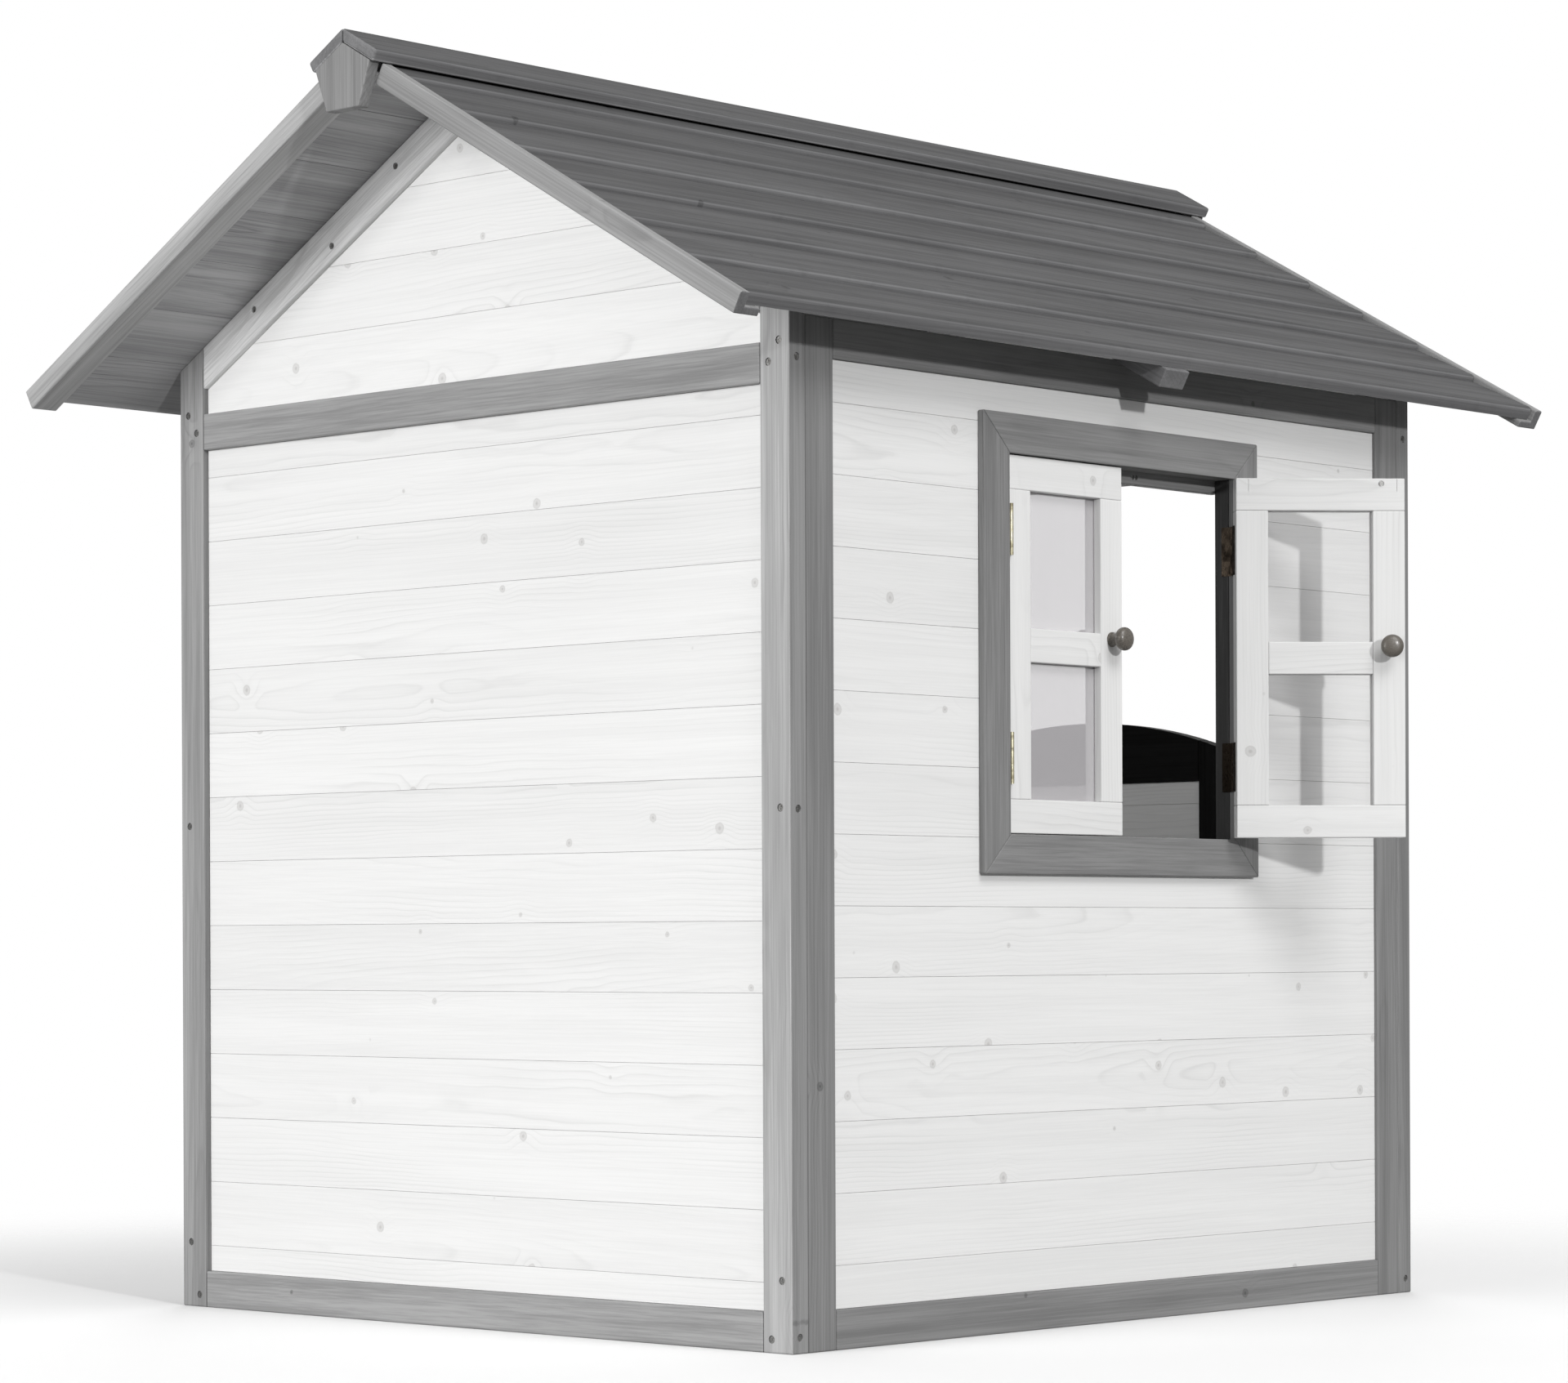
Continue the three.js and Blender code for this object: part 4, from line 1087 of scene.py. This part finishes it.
def door():
    low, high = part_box("door_frame")
    middle = (low.x + high.x) / 2
    panel_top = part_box("door_boards")[1].z + FIT

    def arch(x):
        return high.z - DOOR_ARCH_RADIUS + math.sqrt(DOOR_ARCH_RADIUS ** 2 - (x - middle) ** 2)

    def member(label, x0, x1, z0, z1, along):
        """`z1` is the height of its top, or None where that follows the arch."""
        points = [(x0, z0), (x1, z0)]
        if z1 is None:
            steps = 20 if x1 - x0 > 0.1 else 3
            points += [(x, arch(x)) for x in (x1 + (x0 - x1) * i / steps for i in range(steps + 1))]
        else:
            points += [(x1, z1), (x0, z1)]
        made = piece(f"door_{label}", prism(points, "Y", low.y, high.y), DOOR, body="door",
                     slot="door_stain", replaces=["door_frame"], bevel=1.4 * MM, along=along,
                     face=(0, -1, 0))
        # The outside faces get the lighter stain; the inner ones keep the near-black painted shade
        restain(made, DOOR_OUTSIDE, is_outside)

    inner0, inner1 = low.x + STOCK + TIGHT, high.x - STOCK - TIGHT
    member("stile_free", low.x, low.x + STOCK, low.z, None, (0, 0, 1))
    member("stile_hinge", high.x - STOCK, high.x, low.z, None, (0, 0, 1))
    member("bottom_rail", inner0, inner1, low.z, low.z + STOCK, (1, 0, 0))
    member("top_rail", inner0, inner1, panel_top, None, (1, 0, 0))
    cladding("door_boards", (0, -1, 0), GABLE_FIRST_SEAM, body="door")

    x, y, _ = joint_of("door")["pos_m"]
    place = Matrix.Translation((x, y, 0)) @ Matrix.Diagonal((-1, 1, 1, 1))
    heights = [(label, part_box(f"door_{label}_hinge_leaf")[0].z) for label in ("lower", "upper")]
    hinge("door", "door", BRASS, BRASS_SCREW, heights, DOOR_SIDE_GAP, place, place,
          lambda label, kind: f"door_{label}_hinge_leaf" if kind == "moving" else None)


# ---- camera, floor and light

def camera():
    data = bpy.data.cameras.new("camera")
    data.sensor_width = 36
    data.lens = CAMERA_LENS
    data.shift_x, data.shift_y = CAMERA_SHIFT
    data.clip_end = 100
    shown = bpy.data.objects.new("camera", data)
    shown.location = CAMERA_PLACE
    shown.rotation_mode = "QUATERNION"
    aim = Vector(CAMERA_FORWARD).to_track_quat("-Z", "Y").to_matrix()
    shown.rotation_quaternion = (aim @ Matrix.Rotation(CAMERA_ROLL, 3, "Z")).to_quaternion()
    bpy.context.scene.collection.objects.link(shown)
    bpy.context.scene.camera = shown


def light(name, kind, aim):
    """A lamp that shines along `aim`."""
    lamp = bpy.data.objects.new(name, bpy.data.lights.new(name, kind))
    lamp.rotation_mode = "QUATERNION"
    lamp.rotation_quaternion = Vector(aim).to_track_quat("-Z", "Y")
    bpy.context.scene.collection.objects.link(lamp)
    return lamp


def area_light(name, place, target, size, power):
    lamp = light(name, "AREA", Vector(target) - Vector(place))
    lamp.location = place
    lamp.data.shape = "DISK"
    lamp.data.size = size
    lamp.data.energy = power
    return lamp


def lights():
    key = light("key", "SUN", -Vector(KEY_FROM))
    key.data.energy = KEY_STRENGTH
    key.data.angle = KEY_ANGLE
    area_light("fill", (0.8, 7.0, 1.5), (0, 0.2, 0.7), 4.0, 345)
    area_light("front_fill", (4.5, -5.5, 1.8), (0, 0, 0.7), 4.0, 200)
    area_light("crown", (-4.5, 0.8, 5.0), (-0.4, 0, 0.7), 3.0, 155)
    room = area_light("room", (MIDDLE, 0.25, 0.95), (MIDDLE, -0.5, 0.35), 0.3, 1.3)
    room.visible_camera = False
    return key


def keep_off(lamp, prefix):
    """Keeps a lamp off the pieces named `prefix`, where it would cast the eave's soft shadow."""
    unlit = bpy.data.collections.new("unlit")
    for obj in bpy.context.scene.objects:
        if obj.name.startswith(prefix):
            unlit.objects.link(obj)
    lamp.light_linking.receiver_collection = unlit
    for item in unlit.collection_objects:
        item.light_linking.link_state = "EXCLUDE"


def sky():
    """White to look at; the light that it gives comes mostly from above the horizon."""
    world = bpy.data.worlds.new("studio")
    world.use_nodes = True
    n = Nodes(world.node_tree)
    backdrop = world.node_tree.nodes["Background"]
    backdrop.inputs["Color"].default_value = (1, 1, 1, 1)
    direction = n.add("ShaderNodeSeparateXYZ", Vector=n.add("ShaderNodeTexCoord").outputs["Generated"])
    glow = n.spread(direction.outputs["Z"], -0.08, 0.25, SKY_BELOW, SKY_ABOVE)
    seen = n.add("ShaderNodeLightPath").outputs["Is Camera Ray"]
    n.put(backdrop.inputs["Strength"], n.math("MAXIMUM", glow, seen))
    bpy.context.scene.world = world


def floor():
    """A pale round floor that fades out into the backdrop."""
    bm = bmesh.new()
    bmesh.ops.create_circle(bm, cap_ends=True, segments=96, radius=FLOOR_RADIUS)
    mesh = bpy.data.meshes.new("floor")
    bm.to_mesh(mesh)
    bm.free()
    ground = bpy.data.objects.new("floor", mesh)
    bpy.context.scene.collection.objects.link(ground)
    material, n, shader = new_material("floor")
    place = n.add("ShaderNodeTexCoord").outputs["Object"]
    mottle = n.noise(place, 3, 3).outputs["Fac"]
    seen = n.add("ShaderNodeLightPath").outputs["Is Camera Ray"]
    pale = n.mix(mottle, (0.90, 0.90, 0.90, 1), (0.92, 0.92, 0.92, 1))
    n.put(shader.inputs["Base Color"], n.mix(seen, (*[FLOOR_BOUNCE] * 3, 1), pale))
    shader.inputs["Roughness"].default_value = 0.9
    shader.inputs["Specular IOR Level"].default_value = 0.2
    reach = n.add("ShaderNodeVectorMath", {"operation": "LENGTH"})
    n.put(reach.inputs[0], place)
    fade = n.spread(reach.outputs["Value"], FLOOR_SOLID, FLOOR_RADIUS, 1.0, 0.0)
    n.put(shader.inputs["Alpha"], fade)
    ground.data.materials.append(material)


# ---- everything

bpy.context.scene.view_settings.view_transform = "Standard"
camera()
sky()
key_light = lights()
floor()
gable_frame()
wall_frame()
all_cladding()
roof()
window_frame()
sash("back_sash", 1, 0, BRASS, BRASS_SCREW)
# The open front sash's hinges and screws are in the near-black brass: painted shade
sash("front_sash", -1, FRONT_SASH_OPEN, BRASS_PAINTED_SHADE, BRASS_PAINTED_SHADE)
door()
make_screws()
keep_off(key_light, "back_boards")
